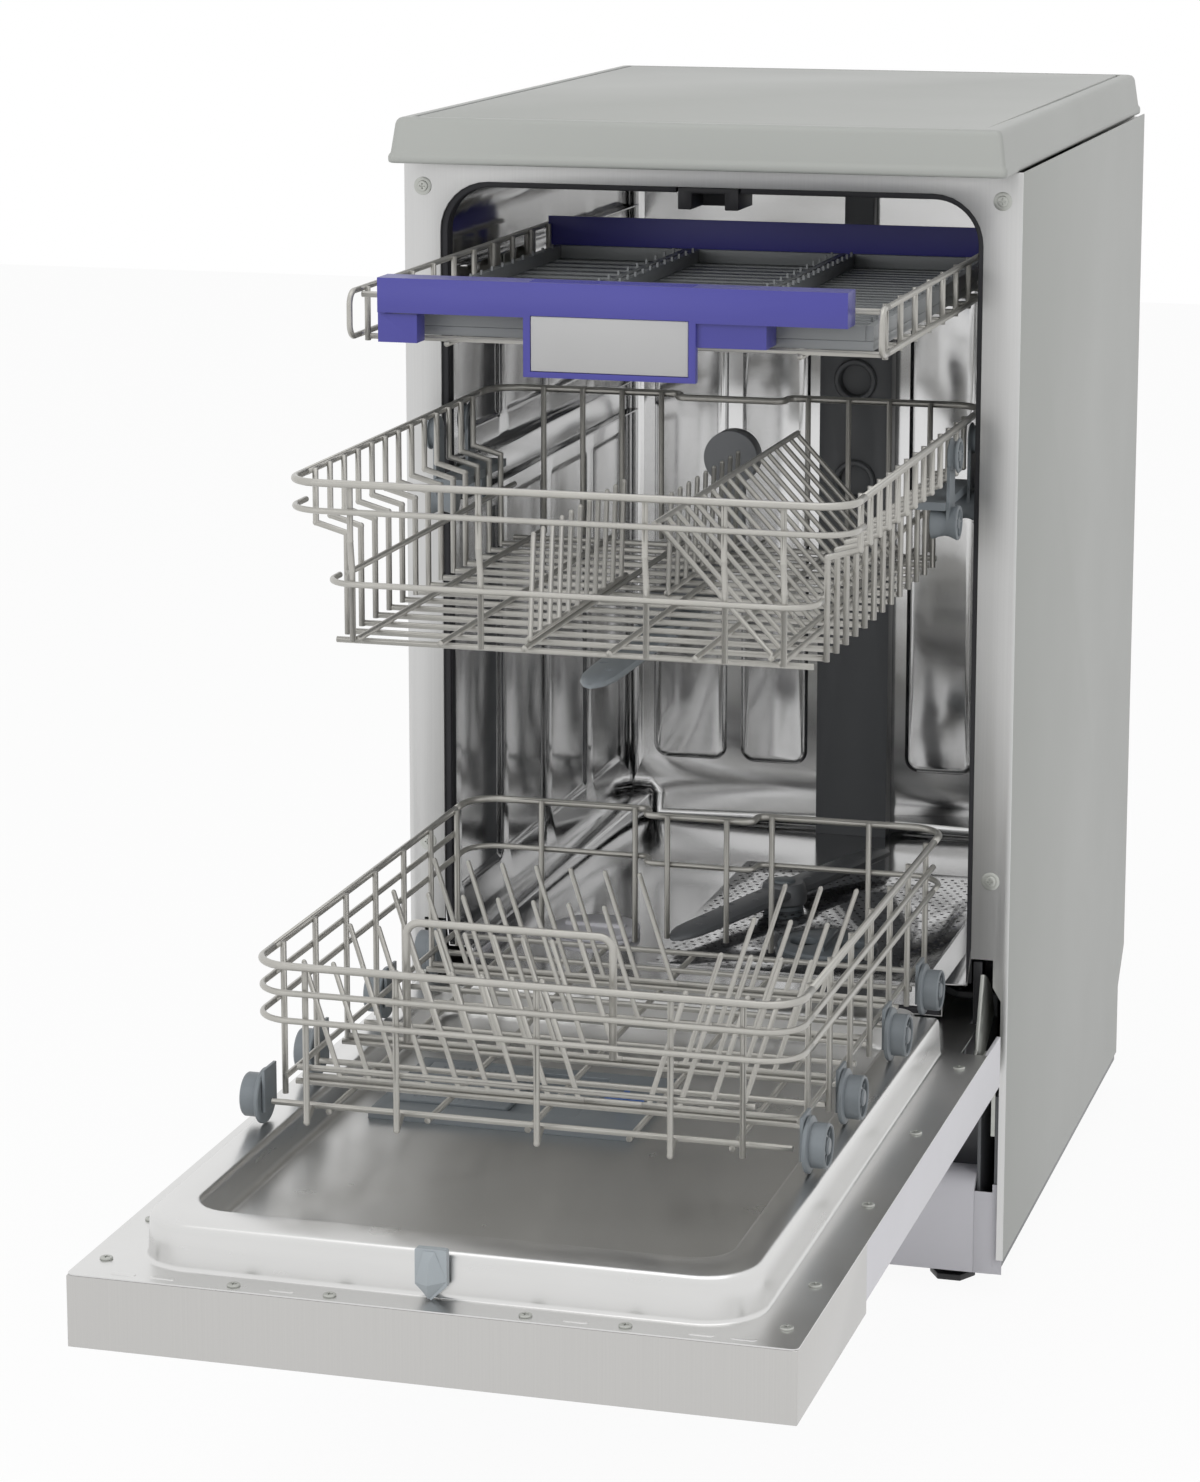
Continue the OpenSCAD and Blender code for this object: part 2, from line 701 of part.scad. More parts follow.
module dispenser() {
    x0 = disp_x - disp_w / 2;
    z0 = disp_z - disp_h / 2;
    face = recess_up + 6;
    color(mid_grey) on_door() difference() {
        block([x0, liner_y - 18, z0], [x0 + disp_w, face, z0 + disp_h]);
        block([x0 + 20, liner_y - 10, z0 + 20], [x0 + 80, face + 1, z0 + 90]);
        block([x0 + 10, face - 3.2, z0 + 12], [x0 + 136, face + 1, z0 + 98]);
        ycyl(x0 + 158, face - 14, face + 1, z0 + 60, 14 + gap);
        block([x0 + 146, liner_y - 16, z0 + 8], [x0 + 170, liner_y - 4, z0 + 112]);
    }
}

module dispenser_lid() {
    x0 = disp_x - disp_w / 2;
    z0 = disp_z - disp_h / 2;
    face = recess_up + 6;
    color(mid_grey) on_door() {
        block([x0 + 11, face - 3, z0 + 13], [x0 + 88, face + 1.5, z0 + 97]);
        block([x0 + 80, face + 1.5, z0 + 30], [x0 + 86, face + 5, z0 + 80]);
    }
}

module rinse_cap() {
    x = disp_x + disp_w / 2 - 22;
    face = recess_up + 6;
    color([0.2, 0.35, 0.7]) on_door() {
        ycyl(x, face - 13.5, face + 1.5, disp_z, 14);
        block([x - 2, face + 1.5, disp_z - 11], [x + 2, face + 5, disp_z + 11]);
    }
}

module latch_hook() {
    lo = liner_hi + 1.5;
    color(mid_grey) on_door() difference() {
        union() {
            block([-10, door_t, lo], [10, door_t + 32, lo + 9]);
            block([-10, door_t + 26, lo], [10, door_t + 32, lo + 9]);
        }
        block([-6, door_t + 14, lo - 1], [6, door_t + 26, lo + 11]);
    }
}

module hinge_arms() {
    r = 66;
    color(zinc) on_door() both_sides() difference() {
        translate([arm_in, 0, 0]) rotate([90, 0, 90]) linear_extrude(arm_t) polygon(concat(
            [[hinge_y - 9, hinge_z + 150], [hinge_y - 9, hinge_z]],
            arc(hinge_y, hinge_z, 12, 190, 240, 4), arc(hinge_y, hinge_z, r, 290, 345),
            arc(hinge_y, hinge_z, 14, 10, 50, 4), [[hinge_y + 11, hinge_z + 150]]));
        xcyl(arm_in - 1, arm_in + arm_t + 1, hinge_y, hinge_z, pin_r + 0.05);
    }
    color(zinc) on_door() both_sides() {
        block([arm_in - 8, liner_y - 3, hinge_z + 50], [arm_in + arm_t, liner_y, hinge_z + 150]);
        block([arm_in, hinge_y, hinge_z + 50], [arm_in + arm_t, liner_y, hinge_z + 150]);
    }
}

module door_screws() {
    x = half_w - 14;
    color(zinc) on_door() {
        step = (door_top - hinge_z - 182) / 3;
        for (s = [-1, 1]) for (i = [0:3]) screw_on_liner(s * x, hinge_z + 80 + i * step);
        for (s = [-1, 1]) screw_on_liner(s * x, door_top - 30);
        for (i = [-2, -1, 1, 2]) screw_on_liner(60 * i * span, door_top - 8);
    }
}

// One screw on the inner door's flange, drawn on the closed door, head towards +Y.
module screw_on_liner(x, z) {
    difference() {
        ycyl(x, door_t, door_t + screw_head, z, 4, 32);
        for (a = [0, 90]) translate([x, door_t + screw_head, z]) rotate([0, a, 0])
            cube([5, 1, 1], center = true);
    }
}

module door_insulation() {
    color(dark_grey) on_door()
        block([-door_x + 22, skin_y + 1.2, hinge_z + 30], [door_x - 22, skin_y + 9, fascia_z - 4]);
}

// ---------- lower basket ----------

// Front or rear hoops of a basket: a wire across that turns onto both sides.
module hoop(x, y, dy, z, d, turn = low_turn, r = 24) {
    wire([[-x, y + dy * turn, z], [-x, y, z], [x, y, z], [x, y + dy * turn, z]], d, r);
}

// Rear hoop with a recess in the middle that clears the feed duct.
module duct_hoop(x, y, z, d, turn = low_turn, deep = 18, half = 40) {
    wire([[-x, y - turn, z], [-x, y, z], [-half, y, z], [-half, y - deep, z], [half, y - deep, z],
        [half, y, z], [x, y, z], [x, y - turn, z]], d, [0, 24, 7, 7, 7, 7, 24, 0]);
}

module lower_basket() {
    hoops = [low_rim - rim_d / 2, low_rim - 20, low_rim - 38];
    color(wire_grey) {
        // front wall
        for (i = [0:2]) hoop(low_rx, low_fy, 1, hoops[i], i == 0 ? rim_d : wire_d);
        rod([142 * span, low_fy + step_in, low_floor - 6],
            [142 * span, low_fy + step_in, low_rim - 1], wire_d);
        for (x = [-142, -82, 10, 96]) kinked([[x * span, low_fy + step_in, low_rim - 1],
            [x * span, low_fy + step_in, low_floor - 9],
                [x * span, low_rods[0] - wire_d - 2 * clip, low_floor - 2]]);
        rod([-149 * span, low_fy + 2 * step_in, low_floor + 26],
            [149 * span, low_fy + 2 * step_in, low_floor + 26], wire_d);
        // rear wall
        for (i = [0, 2]) duct_hoop(low_rx, low_by, hoops[i], i == 0 ? rim_d : wire_d);
        for (x = [51, 122]) for (s = [-1, 1])
            rod([s * x * span, low_by - step_in, low_floor - 6],
                [s * x * span, low_by - step_in, low_rim - 1], wire_d);
        for (x = [-22, 22])
            rod([x, low_by - 18 - step_in, low_floor + 4], [x, low_by - 18 - step_in, low_rim - 1], wire_d);
        // side walls
        for (s = [-1, 1]) {
            for (i = [0:2]) rod([s * low_rx, low_fy + low_turn + clip, hoops[i]],
                [s * low_rx, low_by - low_turn - clip, hoops[i]], i == 0 ? rim_d : wire_d);
            for (i = [0:6]) {
                y = low_fy + low_turn + 8 + i * (low_len - 2 * low_turn - 21) / 6;
                rod([s * low_x, y, low_floor - 6], [s * low_x, y, low_rim - 1], wire_d);
            }
            rod([s * (low_x - wire_d + weld), low_fy + low_turn + clip, low_floor + 8],
                [s * (low_x - wire_d + weld), low_by - low_turn - clip, low_floor + 8], wire_d);
        }
        // floor
        fx = low_x - wire_d / 2 - clip;
        for (y = low_rods) rod([-fx, y, low_floor - 2], [fx, y, low_floor - 2], wire_d);
        under = low_floor - 2 - wire_d + weld;
        for (i = [-2:2]) rod([66 * i * span, low_rods[0] - 1, under],
            [66 * i * span, low_rods[len(low_rods) - 1] + 12, under], wire_d);
        // handle
        hy = low_fy + step_in + wire_d / 2 + rim_d / 2 + clip;
        hx = [-76 * span, 58 * span];
        wire([[hx[0], hy, low_rim - 48], [hx[0], hy, low_rim + 30], [hx[1], hy, low_rim + 30],
            [hx[1], hy, low_rim - 48]], rim_d, 9);
    }
}

// A row of leaning prongs on a straight wire along Y.
module tine_row(x, y0, y1, z, n, rise, lean, side = 0) {
    rod([x, y0, z], [x, y1, z], wire_d);
    for (i = [0:n - 1]) {
        y = y0 + 4 + i * (y1 - y0 - 8 - lean) / (n - 1);
        rod([x, y, z], [x + side, y + lean, z + rise], wire_d - 0.6);
    }
}

// Rows of prongs across the basket, on every other floor wire. The left ones lean left, the rest right.
// Each row is three wires end to end.
module lower_tines() {
    z = low_floor + wire_d / 2 + clip;
    end = low_x - 7;
    for (k = [0:3]) color(wire_grey) {
        y = low_rods[2 * k + 1];
        n = k < 2 ? [9, 4] : [7, 3];
        pitch = (k < 2 ? 20 : 25) * span;
        left = -140 * span + (n[0] - 1) * pitch + 4;
        right = 66 * span - 4;
        rod([-end, y, z], [left, y, z], wire_d);
        rod([left + clip, y, z], [right - clip, y, z], wire_d);
        rod([right, y, z], [end, y, z], wire_d);
        for (i = [0:n[0] - 1]) leaning(-140 * span + i * pitch, y, z, -24);
        for (i = [0:n[1] - 1]) leaning(66 * span + i * pitch, y, z, 24);
    }
}

// One prong of the lower basket, its tip set over by lean.
module leaning(x, y, z, lean) {
    rod([x, y, z], [x + lean * span, y, low_rim - 18], wire_d - 0.6);
}

// Bracket and stub axle of one wheel, on the +X side.
module wheel_mount(y) {
    x = low_x + wire_d / 2 + gap;
    block([x, y - 11, low_floor - 10], [wheel_x - gap, y + 11, wheel_z + 20]);
    xcyl(wheel_x - gap - 0.01, wheel_x + wheel_w - 1, y, wheel_z, axle_r);
}

// One pair of wheels on the axle line at y.
module wheels(y) {
    x = wheel_x;
    both_sides() difference() {
        union() {
            xcyl(x, x + 3, y, wheel_z, wheel_r);
            xcyl(x, x + wheel_w, y, wheel_z, wheel_r - 1.5);
        }
        difference() {
            xcyl(x + 3, x + wheel_w + 1, y, wheel_z, wheel_r - 4);
            xcyl(x + 2, x + wheel_w + 2, y, wheel_z, axle_r + 3);
            for (a = [0:60:120]) translate([x + 2, y, wheel_z]) rotate([a, 0, 0])
                translate([0, -wheel_r, -1]) cube([wheel_w - 3, 2 * wheel_r, 2]);
        }
        xcyl(x - 1, x + wheel_w + 2, y, wheel_z, axle_r + 0.05);
    }
}

module basket_carrier() color(mid_grey) both_sides() wheel_mount(wheel_y[0]);

module wheel_mounts() color(mid_grey) both_sides() for (i = [1:3]) wheel_mount(wheel_y[i]);

module front_wheels() color(mid_grey) wheels(wheel_y[0]);

module second_wheels() color(mid_grey) wheels(wheel_y[1]);

module third_wheels() color(mid_grey) wheels(wheel_y[2]);

module rear_wheels() color(mid_grey) wheels(wheel_y[3]);

// ---------- upper basket ----------

module upper_basket() {
    top = up_rim - rim_d / 2;
    mid = up_step - 28;
    color(wire_grey) {
        // front wall
        hoop(up_rx, up_fy, 1, top, rim_d);
        hoop(up_rx, up_fy, 1, top - 18, wire_d);
        hoop(up_in, up_fy + step_in, 1, mid, wire_d, 30, 20);
        for (k = [-142, -56, 53, 104, 142]) {
            x = k * span;
            fy = up_fy + step_in;
            kinked([[x, fy, up_rim - 1], [x, fy, up_step], [x, fy + wire_d - weld, mid + 8],
                [x, fy + wire_d - weld, up_floor + wire_d + clip]]);
        }
        // rear wall
        duct_hoop(up_rx, up_by, top, rim_d);
        for (s = [-1, 1]) for (i = [0:3]) {
            x = s * (55 + 30 * i) * span;
            rod([x, up_by - step_in, up_floor], [x, up_by - step_in, up_rim - 1], wire_d);
        }
        // side walls
        for (s = [-1, 1]) {
            rod([s * up_rx, up_fy + low_turn + clip, top], [s * up_rx, up_by - low_turn - clip, top], rim_d);
            for (i = [0:12]) {
                y = up_fy + low_turn + 8 + i * 28;
                kinked([[s * up_x, y, up_rim - 1], [s * up_x, y, up_step + 3], [s * up_in, y, up_step - 3],
                    [s * up_in, y, up_floor]]);
            }
            rod([s * (up_in - wire_d + weld), up_fy + low_turn + clip, mid],
                [s * (up_in - wire_d + weld), up_by - low_turn - clip, mid], wire_d);
        }
        // floor
        fx = up_in - wire_d / 2 - clip;
        y0 = up_fy + step_in + wire_d - weld + wire_d / 2 + clip;
        y1 = up_by - step_in - wire_d / 2 - clip - 20;
        for (i = [0:14]) rod([-fx, y0 + 12 + i * (y1 - y0 - 24) / 14, up_floor + 2],
            [fx, y0 + 12 + i * (y1 - y0 - 24) / 14, up_floor + 2], wire_d);
        over = up_floor + 2 + wire_d - weld;
        for (i = [-2.5:2.5]) rod([56 * i * span, y0, over], [56 * i * span, y1, over], wire_d);
        // prongs and the sloping glass rest
        low = up_floor + wire_d + wire_d / 2 + clip;
        z = low + wire_d - weld;
        tine_row(-28 * span, y0 + 10, y0 + 240, z, 11, 66, 8);
        tine_row(12, y0 + 200, y1 - 10, low, 9, 66, 8);
        rest = [131 * span, 55 * span];
        rod([rest[0], y0 + 10, low], [rest[0], y1 - 10, low], wire_d);
        for (i = [0:17]) rod([rest[0], y0 + 16 + i * (y1 - y0 - 29.2) / 17, low],
            [rest[1], y0 + 16 + i * (y1 - y0 - 29.2) / 17, up_rim - 22], wire_d - 0.6);
        rod([rest[1], y0 + 10, up_rim - 22], [rest[1], y1 - 10, up_rim - 22], wire_d);
    }
}

module upper_adjusters() {
    x0 = up_in + wire_d / 2 + gap;
    x1 = up_rx + rim_d / 2 - 3;
    y0 = up_back - 146;
    y1 = up_back - 44;
    disc_x = rail_x + 0.4;
    color(mid_grey) both_sides() {
        block([x0, y0, up_wheel_z + 10], [x1, y1, up_step - 9]);
        for (y = [y0 + 14, y1 - 14]) {
            block([x1 - 2.2, y - 13, up_wheel_z - 24], [x1, y + 13, up_wheel_z + 11]);
            block([up_x + wire_d / 2 + gap, y - 13, up_wheel_z - 24], [x1, y + 13, up_rim - rim_d - 1]);
            for (z = [up_wheel_z, up_rim - rim_d - 1 - up_wheel_r])
                xcyl(x1 - 0.01, seal_x - 0.6, y, z, up_wheel_r);
        }
    }
}

module upper_feed() {
    z = up_floor - 6;
    color(dark_grey) {
        translate([0, up_mid, z - 12]) cylinder(r = 11, h = 6, $fn = 48);
        translate([0, up_mid, z - 27.3]) cylinder(r = 8, h = 3, $fn = 48);
        translate([0, up_mid, z - 27.3]) cylinder(r = 5, h = 17, $fn = 48);
        block([-9, up_mid - 12, z - 6], [9, up_back - 6, up_floor - clip]);
        block([-9, up_back - 16, z], [9, up_back - 6, ports[1] - 9]);
        ycyl(0, up_back - 18, up_back - 2, ports[1], 20);
        ycyl(0, up_back - 2, up_back + 4, ports[1], 12);
    }
}

module upper_spray_arm() {
    z = up_floor - 30;
    color(mid_grey) translate([0, up_mid, 0]) rotate(90)
        spray_arm(arm_r, z, 15, z, up_floor - 18 - gap, 5.05);
}

// ---------- cutlery tray ----------

module tray_frame() {
    y0 = tray_front + 24;
    y1 = tray_back - 6;
    top = tray_z - wire_d / 2;
    color(wire_grey) {
        for (s = [-1, 1]) {
            for (z = [top, tray_floor + 4]) rod([s * tray_x, y0, z], [s * tray_x, y1, z], wire_d);
            x = s * (tray_x - wire_d + weld);
            for (i = [0:9]) rod([x, y0 + 8 + i * (y1 - y0 - 16) / 9, tray_floor - 1],
                [x, y0 + 8 + i * (y1 - y0 - 16) / 9, top + 1], wire_d);
            wire([[s * tray_x, y0 - clip, top], [s * tray_x, tray_front + 5, top],
                [s * tray_x, tray_front + 5, tray_floor + 4],
                [s * tray_x, y0 - clip, tray_floor + 4]], wire_d, 9);
            tray_roller(s);
        }
        fx = tray_x - wire_d / 2 - clip;
        reach = fx - wire_d + weld;
        for (i = [0:9]) rod([-reach, y0 + 8 + i * (y1 - y0 - 16) / 9, tray_floor + 2],
            [reach, y0 + 8 + i * (y1 - y0 - 16) / 9, tray_floor + 2], wire_d);
        under = tray_floor + 2 - wire_d + weld;
        for (i = [-1.5:1.5]) rod([80 * i * span, y0 + 6, under], [80 * i * span, y1 - 6, under], wire_d);
        rod([-fx, y1 - wire_d / 4, top], [fx, y1 - wire_d / 4, top], wire_d);
        fy = tray_front + 22 + wire_d / 2 + clip;
        fz = top - wire_d + weld;
        for (s = [-1, 1]) rod([s * fx, fy, fz], [s * 70 * span, fy, fz], wire_d);
    }
}

// Two rollers on one side of the tray.
module tray_roller(s) {
    x = tray_x + wire_d / 2 + clip;
    for (y = [tray_back - 40, tray_back - 130]) mirror([s < 0 ? 1 : 0, 0, 0]) {
        block([x, y - 10, tray_floor + 4], [x + 3, y + 10, tray_z - wire_d / 2]);
        xcyl(x + 2.99, seal_x - 0.8, y, tray_wheel_z, tray_wheel_r);
    }
}

// A tray insert between two corners: a slotted floor with four low walls clipped onto it.
module insert(x0, x1, y0, y1, n, slot) {
    z = tray_floor + 4 + clip;
    pitch = (y1 - y0 - 12) / n;
    difference() {
        block([x0, y0, z], [x1, y1, z + 6]);
        for (i = [0:n - 1])
            block([x0 + 5, y0 + 8 + i * pitch, z - 1], [x1 - 5, y0 + 8 + i * pitch + slot, z + 7]);
    }
    for (x = [x0, x1 - 5]) block([x, y0, z + 6 + clip], [x + 5, y1, z + 16]);
    for (y = [y0, y1 - 5]) block([x0 + 5 + clip, y, z + 6 + clip], [x1 - 5 - clip, y + 5, z + 16]);
}

module tray_inserts() {
    y0 = tray_front + 32;
    y1 = tray_back - 20;
    color(dark_grey) {
        edge = tray_x - 11;
        insert(-edge, -62 * span, y0, y1, 16, 14);
        insert(-60 * span, 58 * span, y0, y1, 20, 10);
        insert(60 * span, edge, y0, y1, 26, 8);
    }
}

module tray_handle() {
    x = tray_x - 21;
    y0 = tray_front;
    z1 = tray_z + 9;
    px = plate_w / 2 + 5;
    pz = tray_z - 13 - plate_h;
    bar_x = tray_x - wire_d / 2 - clip;
    color(violet) {
        difference() {
            union() {
                block([-x, y0, tray_z - 14], [x, y0 + 22, z1]);
                block([-px, y0, pz - 4], [px, y0 + 6, tray_z - 13.9]);
                block([-x - 1, y0 + 4, tray_floor + 2], [-x + 26, y0 + 20, tray_z - 13.9]);
            }
            block([-x + 4, y0 + 4, tray_z - 15], [x - 4, y0 + 23, z1 - 4]);
            block([-plate_w / 2 - gap, y0 - 1, pz - gap], [plate_w / 2 + gap, y0 + 3, tray_z - 13 + gap]);
        }
        block([-bar_x, tray_back - 11, tray_floor + 3], [bar_x, tray_back - 9, tray_z + 5]);
        block([54, y0 + 3.9, tray_floor + 6], [104, y0 + 31, tray_z - 10]);
    }
}

module tray_plate() {
    pz = tray_z - 13 - plate_h;
    color([0.85, 0.85, 0.84])
        block([-plate_w / 2, tray_front + 0.5, pz], [plate_w / 2, tray_front + 3, tray_z - 13]);
}

base_tray();
side_panel_left();
side_panel_right();
worktop();
rear_panel();
front_frame();
tub();
door_gasket();
plinth();
feed_duct();
sump();
filter_plate();
circulation_pump();
drain_pump();
inlet_valve();
salt_container();
counterweight();
feet();
latch_receiver();
frame_screws();
hinge_brackets();
hinge_covers();
tub_rails();
door_springs();
salt_cap();
filter_cup();
lower_spray_arm();
door_panel();
door_liner();
control_panel();
control_board();
display_window();
button_power();
button_program();
button_start();
dispenser();
dispenser_lid();
rinse_cap();
latch_hook();
hinge_arms();
door_screws();
door_insulation();
basket_carrier();
front_wheels();
lower_basket();
lower_tines();
wheel_mounts();
second_wheels();
third_wheels();
rear_wheels();
upper_slides();
upper_basket();
upper_adjusters();
upper_feed();
upper_spray_arm();
tray_slides();
tray_frame();
tray_inserts();
tray_handle();
tray_plate();
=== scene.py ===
"""Looks of a slimline dishwasher, shown open with its baskets and cutlery tray drawn out.

Sizes are in millimetres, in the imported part's frame: origin on the floor, +Z up, front facing -Y.
Each sub-assembly is a class that builds its pieces and gives them to the bodies they ride on.
"""
import json
import logging
import math
from dataclasses import dataclass, field
from enum import Enum
from typing import Callable, Iterable, Optional, Sequence

import bmesh
import bpy
from mathutils import Matrix, Vector


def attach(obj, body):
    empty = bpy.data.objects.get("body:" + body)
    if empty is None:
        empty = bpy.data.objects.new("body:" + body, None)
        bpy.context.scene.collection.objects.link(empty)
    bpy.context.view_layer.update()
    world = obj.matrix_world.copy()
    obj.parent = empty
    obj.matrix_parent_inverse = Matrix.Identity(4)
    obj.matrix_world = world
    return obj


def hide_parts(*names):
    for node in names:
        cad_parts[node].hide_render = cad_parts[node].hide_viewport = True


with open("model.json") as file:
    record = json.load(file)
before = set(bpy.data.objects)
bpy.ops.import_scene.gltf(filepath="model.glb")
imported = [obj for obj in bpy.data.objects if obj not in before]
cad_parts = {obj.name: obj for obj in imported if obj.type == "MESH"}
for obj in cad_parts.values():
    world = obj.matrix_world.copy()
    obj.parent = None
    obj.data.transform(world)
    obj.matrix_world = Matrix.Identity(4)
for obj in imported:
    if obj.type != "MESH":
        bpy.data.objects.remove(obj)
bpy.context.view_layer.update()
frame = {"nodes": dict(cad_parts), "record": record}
LOG = logging.getLogger("dishwasher")
MM = 0.001
ALONG_Y = Matrix.Rotation(math.radians(-90), 4, "X")

Point = tuple[float, float, float]
Colour = tuple[float, float, float]
BODY_OF = {n: b for b, nodes in frame["record"]["behaviour"]["bodies"].items() for n in nodes}
SLOT_OF = {s["node"]: s["material_slot"] for s in frame["record"]["subparts"]}


# ---------------------------------------------------------------- shader maths


class Value:
    """A shader socket that can be used in Python sums."""

    def __init__(self, tree: "Shader", socket: bpy.types.NodeSocket) -> None:
        """Keeps the socket and the tree that new nodes go to."""
        self.tree = tree
        self.socket = socket

    def _math(self, operation: str, first: object, second: object) -> "Value":
        """One Math node on two values or numbers."""
        return self.tree.node("ShaderNodeMath", {"operation": operation}, {0: first, 1: second})

    def __add__(self, other: object) -> "Value":
        """Sum."""
        return self._math("ADD", self, other)

    def __radd__(self, other: object) -> "Value":
        """Sum with a number on the left."""
        return self._math("ADD", other, self)

    def __sub__(self, other: object) -> "Value":
        """Difference."""
        return self._math("SUBTRACT", self, other)

    def __rsub__(self, other: object) -> "Value":
        """Difference with a number on the left."""
        return self._math("SUBTRACT", other, self)

    def __mul__(self, other: object) -> "Value":
        """Product."""
        return self._math("MULTIPLY", self, other)

    def __rmul__(self, other: object) -> "Value":
        """Product with a number on the left."""
        return self._math("MULTIPLY", other, self)

    def above(self, limit: float) -> "Value":
        """1 where the value is above the limit, else 0."""
        return self._math("GREATER_THAN", self, limit)


class Shader:
    """A material's node tree, built from Python."""

    def __init__(self, name: str) -> None:
        """Makes an empty material with a Principled shader and an output."""
        self.material = bpy.data.materials.new(name)
        self.material.use_nodes = True
        self.nodes = self.material.node_tree.nodes
        self.links = self.material.node_tree.links
        self.nodes.clear()
        self.bsdf = self.nodes.new("ShaderNodeBsdfPrincipled")
        self.output = self.nodes.new("ShaderNodeOutputMaterial")
        self.links.new(self.bsdf.outputs[0], self.output.inputs[0])
        self._place: Optional[Value] = None

    def node(self, kind: str, settings: dict, inputs: dict, output: object = 0) -> Value:
        """Adds a node.

        Args:
            kind: The node's type name.
            settings: Properties set before the sockets, such as a Math node's operation.
            inputs: Numbers, tuples or Values by socket name or index.
            output: Name or index of the socket to return.

        Returns:
            The output as a Value.
        """
        made = self.nodes.new(kind)
        for key, value in settings.items():
            setattr(made, key, value)
        for key, value in inputs.items():
            if isinstance(value, Value):
                self.links.new(value.socket, made.inputs[key])
            else:
                made.inputs[key].default_value = value
        return Value(self, made.outputs[output])

    def place(self) -> Value:
        """Object coordinates, which stay with the piece."""
        if self._place is None:
            self._place = self.node("ShaderNodeTexCoord", {}, {}, "Object")
        return self._place

    def stretched(self, scale: Point) -> Value:
        """Object coordinates with their own scale along each axis."""
        return self.node("ShaderNodeMapping", {}, {"Vector": self.place(), "Scale": scale})

    def noise(self, scale: float, detail: float = 3.0, where: Optional[Value] = None) -> Value:
        """Smooth noise from 0 to 1."""
        return self.node("ShaderNodeTexNoise", {},
                         {"Vector": where or self.place(), "Scale": scale, "Detail": detail}, "Fac")

    def cells(self, scale: float, output: str = "Distance") -> Value:
        """Voronoi cells."""
        return self.node("ShaderNodeTexVoronoi", {}, {"Vector": self.place(), "Scale": scale}, output)

    def mix(self, fac: Value, first: Colour, second: Colour) -> Value:
        """A colour between two, by fac."""
        return self.node("ShaderNodeMix", {"data_type": "RGBA"},
                         {0: fac, 6: (*first, 1.0), 7: (*second, 1.0)}, 2)

    def tint(self, by: Value, colour: Colour, low: float, high: float) -> Value:
        """A colour made darker and lighter by a pattern."""
        return self.mix(by, shade(colour, low), shade(colour, high))

    def bump(self, height: Value, strength: float, distance: float) -> None:
        """Raises the surface by a height."""
        made = self.node("ShaderNodeBump", {}, {"Height": height, "Strength": strength, "Distance": distance})
        self.links.new(made.socket, self.bsdf.inputs["Normal"])

    def set(self, **values: object) -> None:
        """Sets the Principled shader's sockets; an underscore in a name stands for a space."""
        for key, value in values.items():
            socket = self.bsdf.inputs[key.replace("_", " ")]
            if isinstance(value, Value):
                self.links.new(value.socket, socket)
            elif isinstance(value, tuple) and len(value) == 3:
                socket.default_value = (*value, 1.0)
            else:
                socket.default_value = value


def shade(colour: Colour, by: float) -> Colour:
    """The colour made lighter or darker by a factor."""
    return tuple(min(1.0, max(0.0, c * by)) for c in colour)


# ---------------------------------------------------------------- finishes


class Grain(Enum):
    """Direction in which a sheet was brushed."""

    ALONG_Z = (900.0, 900.0, 6.0)


@dataclass(frozen=True)
class Finish:
    """A look that can be made into a material."""

    def wire(self, s: Shader) -> None:
        """Wires the shader; each finish does this its own way."""
        raise NotImplementedError

    def build(self, name: str) -> bpy.types.Material:
        """The material, under a name."""
        s = Shader(name)
        self.wire(s)
        return s.material


@dataclass(frozen=True)
class PaintedSheet(Finish):
    """Satin paint on sheet steel, with the faint orange peel of powder coating."""

    colour: Colour
    roughness: float = 0.38

    def wire(self, s: Shader) -> None:
        """Wires the shader."""
        cloud = s.noise(4.0, 2.0)
        peel = s.noise(700.0, 2.0)
        s.set(Base_Color=s.tint(cloud, self.colour, 0.97, 1.03),
              Roughness=s.noise(9.0) * 0.08 + (self.roughness - 0.04), Specular_IOR_Level=0.45)
        s.bump(peel, 0.08, 0.0004)


@dataclass(frozen=True)
class BrushedSheet(Finish):
    """Bare steel sheet with a fine rolled or brushed grain."""

    colour: Colour
    roughness: float = 0.34
    grain: Grain = Grain.ALONG_Z

    def wire(self, s: Shader) -> None:
        """Wires the shader."""
        lines = s.noise(1.0, 3.0, s.stretched(self.grain.value))
        cloud = s.noise(5.0, 2.0)
        s.set(Base_Color=s.tint(lines, self.colour, 0.93, 1.05),
              Roughness=lines * 0.12 + cloud * 0.08 + (self.roughness - 0.1), Metallic=1.0)
        s.bump(lines, 0.12, 0.0003)


@dataclass(frozen=True)
class PolishedSheet(Finish):
    """Bright stainless steel with the slight waviness and wipe marks of a pressed tub."""

    colour: Colour
    roughness: float = 0.17

    def wire(self, s: Shader) -> None:
        """Wires the shader."""
        wave = s.noise(6.0, 1.0)
        wipes = s.noise(1.0, 4.0, s.stretched((14.0, 14.0, 90.0)))
        s.set(Base_Color=s.tint(wipes, self.colour, 0.95, 1.04),
              Roughness=wipes * 0.1 + (self.roughness - 0.03), Metallic=1.0)
        s.bump(wave, 0.35, 0.002)


@dataclass(frozen=True)
class MouldedPlastic(Finish):
    """Moulded plastic with a fine spark grain and a little flow variation."""

    colour: Colour
    roughness: float = 0.45
    grain: float = 1400.0
    depth: float = 0.10

    def wire(self, s: Shader) -> None:
        """Wires the shader."""
        flow = s.noise(14.0, 2.0)
        spark = s.noise(self.grain, 2.0)
        s.set(Base_Color=s.tint(flow, self.colour, 0.94, 1.06),
              Roughness=flow * 0.1 + spark * 0.06 + (self.roughness - 0.08), Specular_IOR_Level=0.5)
        s.bump(spark, self.depth, 0.0003)


